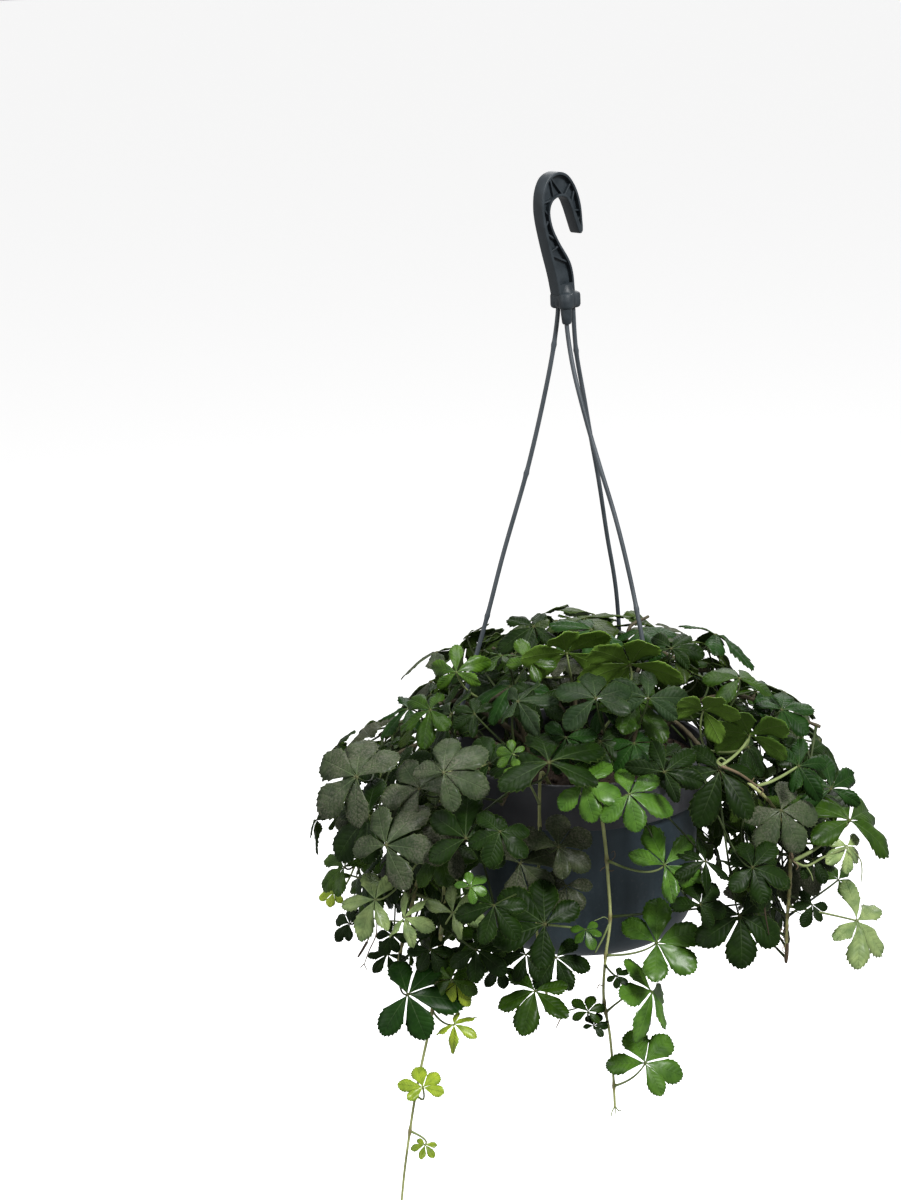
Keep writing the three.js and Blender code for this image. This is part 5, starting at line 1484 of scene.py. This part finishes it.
# Side shoots, thick young stalks, tendrils, rootlets at the joints and the dry ends of old shoots, listed
# under their stem: the finish, the radius in mm and the pixels, with a depth where it isn't the stem's.
SHOOT_PLACES = 5
SHOOT_STEP = 1.2
SHOOT_TAPER = (1.15, 1, 0.75)
SHOOTS = {
    "runner_front": [
        ("root", 0.28, [(607, 866), (603, 868), (600, 871)]),
        ("root", 0.20, [(608, 866), (611, 861), (615, 856), (614, 851), (611, 853)]),
        ("root", 0.28, [(607, 868), (611, 871), (614, 870)]),
        ("pale", 0.22, [(609, 920), (604, 917), (599, 919), (594, 921)]),
        ("pale", 0.55, [(609, 924), (603, 938), (595, 953)]),
        ("root", 0.35, [(602, 817), (598, 815), (596, 818)]),
        ("root", 0.35, [(602, 817), (606, 816), (609, 818)]),
        ("root", 0.30, [(603, 986), (599, 985), (597, 989)]),
        ("pale", 0.35, [(615, 1106), (612, 1112), (611, 1117)]),
        ("pale", 0.35, [(615, 1106), (619, 1111), (621, 1110)]),
        ("pale", 0.30, [(615, 1106), (616, 1115)]),
    ],
    "runner_front_left": [
        ("pale", 0.45, [(548, 999), (556, 1011), (570, 1010), (586, 1005)]),
        ("root", 0.35, [(566, 1011), (561, 1018), (556, 1028)]),
    ],
    "runner_far_left": [
        ("pale", 0.90, [(415, 893), (430, 900), (442, 907, -92), (453, 913, -97)]),
        ("pale", 0.45, [(407, 922), (394, 921, -76), (379, 920, -79), (360, 914, -82)]),
        ("root", 0.50, [(372, 917, -80), (371, 931, -81), (366, 945, -81)]),
        ("dry", 0.75, [(367, 942, -81), (363, 949, -81), (358, 957, -81)]),
        ("root", 0.38, [(377, 919, -79), (376, 935, -79), (369, 951, -79), (364, 965, -79)]),
        ("root", 0.28, [(364, 964, -79), (360, 968, -80)]),
        ("root", 0.28, [(364, 964, -79), (367, 970, -80)]),
        ("root", 0.35, [(415, 893), (411, 889), (410, 893)]),
        ("root", 0.35, [(406, 923), (402, 919)]),
    ],
    "runner_left": [
        ("pale", 0.50, [(453, 913, -97), (470, 919, -99), (494, 930, -101)]),
    ],
    "runner_right": [
        ("dry", 1.00, [(787, 943), (787, 953), (786, 963)]),
        ("root", 0.25, [(786, 934), (781, 929), (780, 936), (784, 941)]),
        ("pale", 0.25, [(789, 911), (797, 912), (804, 917), (803, 924), (797, 925)]),
        ("root", 0.25, [(786, 945), (782, 949), (785, 953), (789, 950)]),
        ("root", 1.00, [(788, 846), (791, 853, -90), (793, 861, -99)]),
        ("pale", 1.00, [(793, 861, -99), (810, 852, -98), (829, 838, -95), (847, 823, -90)]),
        ("pale", 0.70, [(793, 861, -99), (806, 866, -97), (824, 857, -94), (849, 847, -92)]),
        ("pale", 0.35, [(806, 866, -97), (811, 874, -97), (813, 881, -97)]),
        ("pale", 0.35, [(850, 848, -92), (860, 859, -91), (862, 870, -90), (861, 882, -90)]),
        ("root", 0.35, [(793, 861, -100), (789, 856, -101), (792, 852, -101)]),
        ("root", 0.35, [(793, 861, -100), (798, 866, -101), (796, 870, -101)]),
    ],
    "cutting_right": [
        ("pale", 0.80, [(721, 766, -124), (733, 757, -117), (742, 748, -106), (749, 738, -93)]),
        ("root", 0.80, [(721, 766, -124), (738, 773, -122), (757, 786, -117)]),
        ("pale", 0.85, [(757, 786, -117), (770, 782, -111), (784, 775, -103), (797, 767, -96)]),
        ("root", 0.40, [(757, 786, -118), (752, 782, -119), (754, 778, -119)]),
        ("root", 0.40, [(757, 786, -118), (763, 790, -119), (760, 795, -119)]),
        ("pale", 0.50, [(721, 766, -125), (717, 762, -126), (721, 758, -126), (726, 761, -126)]),
        ("dry", 0.42, [(757, 880, -120), (764, 897, -118), (765, 912, -117), (769, 935, -117)]),
    ],
}


def shoot_path(node, pixels, radius):
    """A shoot's route and its radius along it, where it comes a little nearer with each listed place."""
    places = []
    for k, pixel in enumerate(pixels):
        depth = pixel[2] if len(pixel) > 2 else runner_depth(node, pixel[1]) - SHOOT_STEP * k
        places.append(point_at(pixel, depth))
    route = catmull(places, SHOOT_PLACES * len(places))
    return route, radius * np.interp(np.linspace(0, 1, len(route)), [0, 0.7, 1], SHOOT_TAPER)


def with_finish(piece, finish):
    piece.data.materials.append(finish.material)
    return piece


# Each plant is two pieces: its blades, and its stems with their petioles, shoots and rootlets, swollen
# and browned at the joints where petioles start.
ROOT_PLACES = 6
STEM_PLACES = 12
JOINT_RISE = 0.45
JOINT_LENGTH = 2.2
JOINT_STAIN = 2.4
PETIOLE_PLACES = 14
PETIOLE_SUNK = 0.6
PETIOLE_SHARES = [0, 0.15, 0.9, 1]
PETIOLE_RADII = [0.62, 0.55, 0.7, 1.05]
for node in stems:
    own = [leaf for leaf in leaves if leaf["node"] == node]
    blades = joined(f"{node}_leaves", [leaf_copy(leaf, leaf_kinds[leaf["kind"]]) for leaf in own])
    used = np.array([seat["at"] for seat in seats if seat["node"] == node and seat["used"]])
    kind = node.split("_")[0]
    paths = []
    for places in stems[node]:
        rooted = np.linspace(places[0], places[1], ROOT_PLACES)[:-1]
        route = np.vstack([rooted, catmull(places[1:], STEM_PLACES * len(places))])
        radii = np.interp(np.linspace(0, 1, len(route)), [0, 0.5, 1], STEM_RADII[kind])
        radii += JOINT_RISE * np.exp(-((distances(route, used) / JOINT_LENGTH) ** 2))
        paths.append((route, radii))
    parts = [with_finish(tubes(f"{node}_stems", paths), bark if kind == "cutting" else green_stem)]
    paths = {name: [] for name in stalks}
    for name, radius, pixels in SHOOTS.get(node, []):
        paths[name].append(shoot_path(node, pixels, radius))
    shares = np.linspace(0, 1, PETIOLE_PLACES)
    radii = np.interp(shares, PETIOLE_SHARES, PETIOLE_RADII)
    for leaf in own:
        name = "pale" if leaf["tone"][1] > PALE_STALKED else "dark"
        paths[name].append((petiole(leaf, leaf["seat"], leaf["bow"], PETIOLE_SUNK, shares), radii))
    for name, finish in stalks.items():
        if paths[name]:
            parts.append(with_finish(tubes(f"{node}_{name}", paths[name]), finish))
    stem_piece = joined(f"{node}_stems", parts)
    places = np.array([v.co for v in stem_piece.data.vertices]) / MM
    browned = np.exp(-((distances(places, used) / JOINT_STAIN) ** 2))
    stem_piece.data.attributes.new("joint", "FLOAT", "POINT").data.foreach_set("value", browned)
    for piece in (blades, stem_piece):
        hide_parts(node)
        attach(piece, "root")
for kind in leaf_kinds:
    bpy.data.objects.remove(kind)
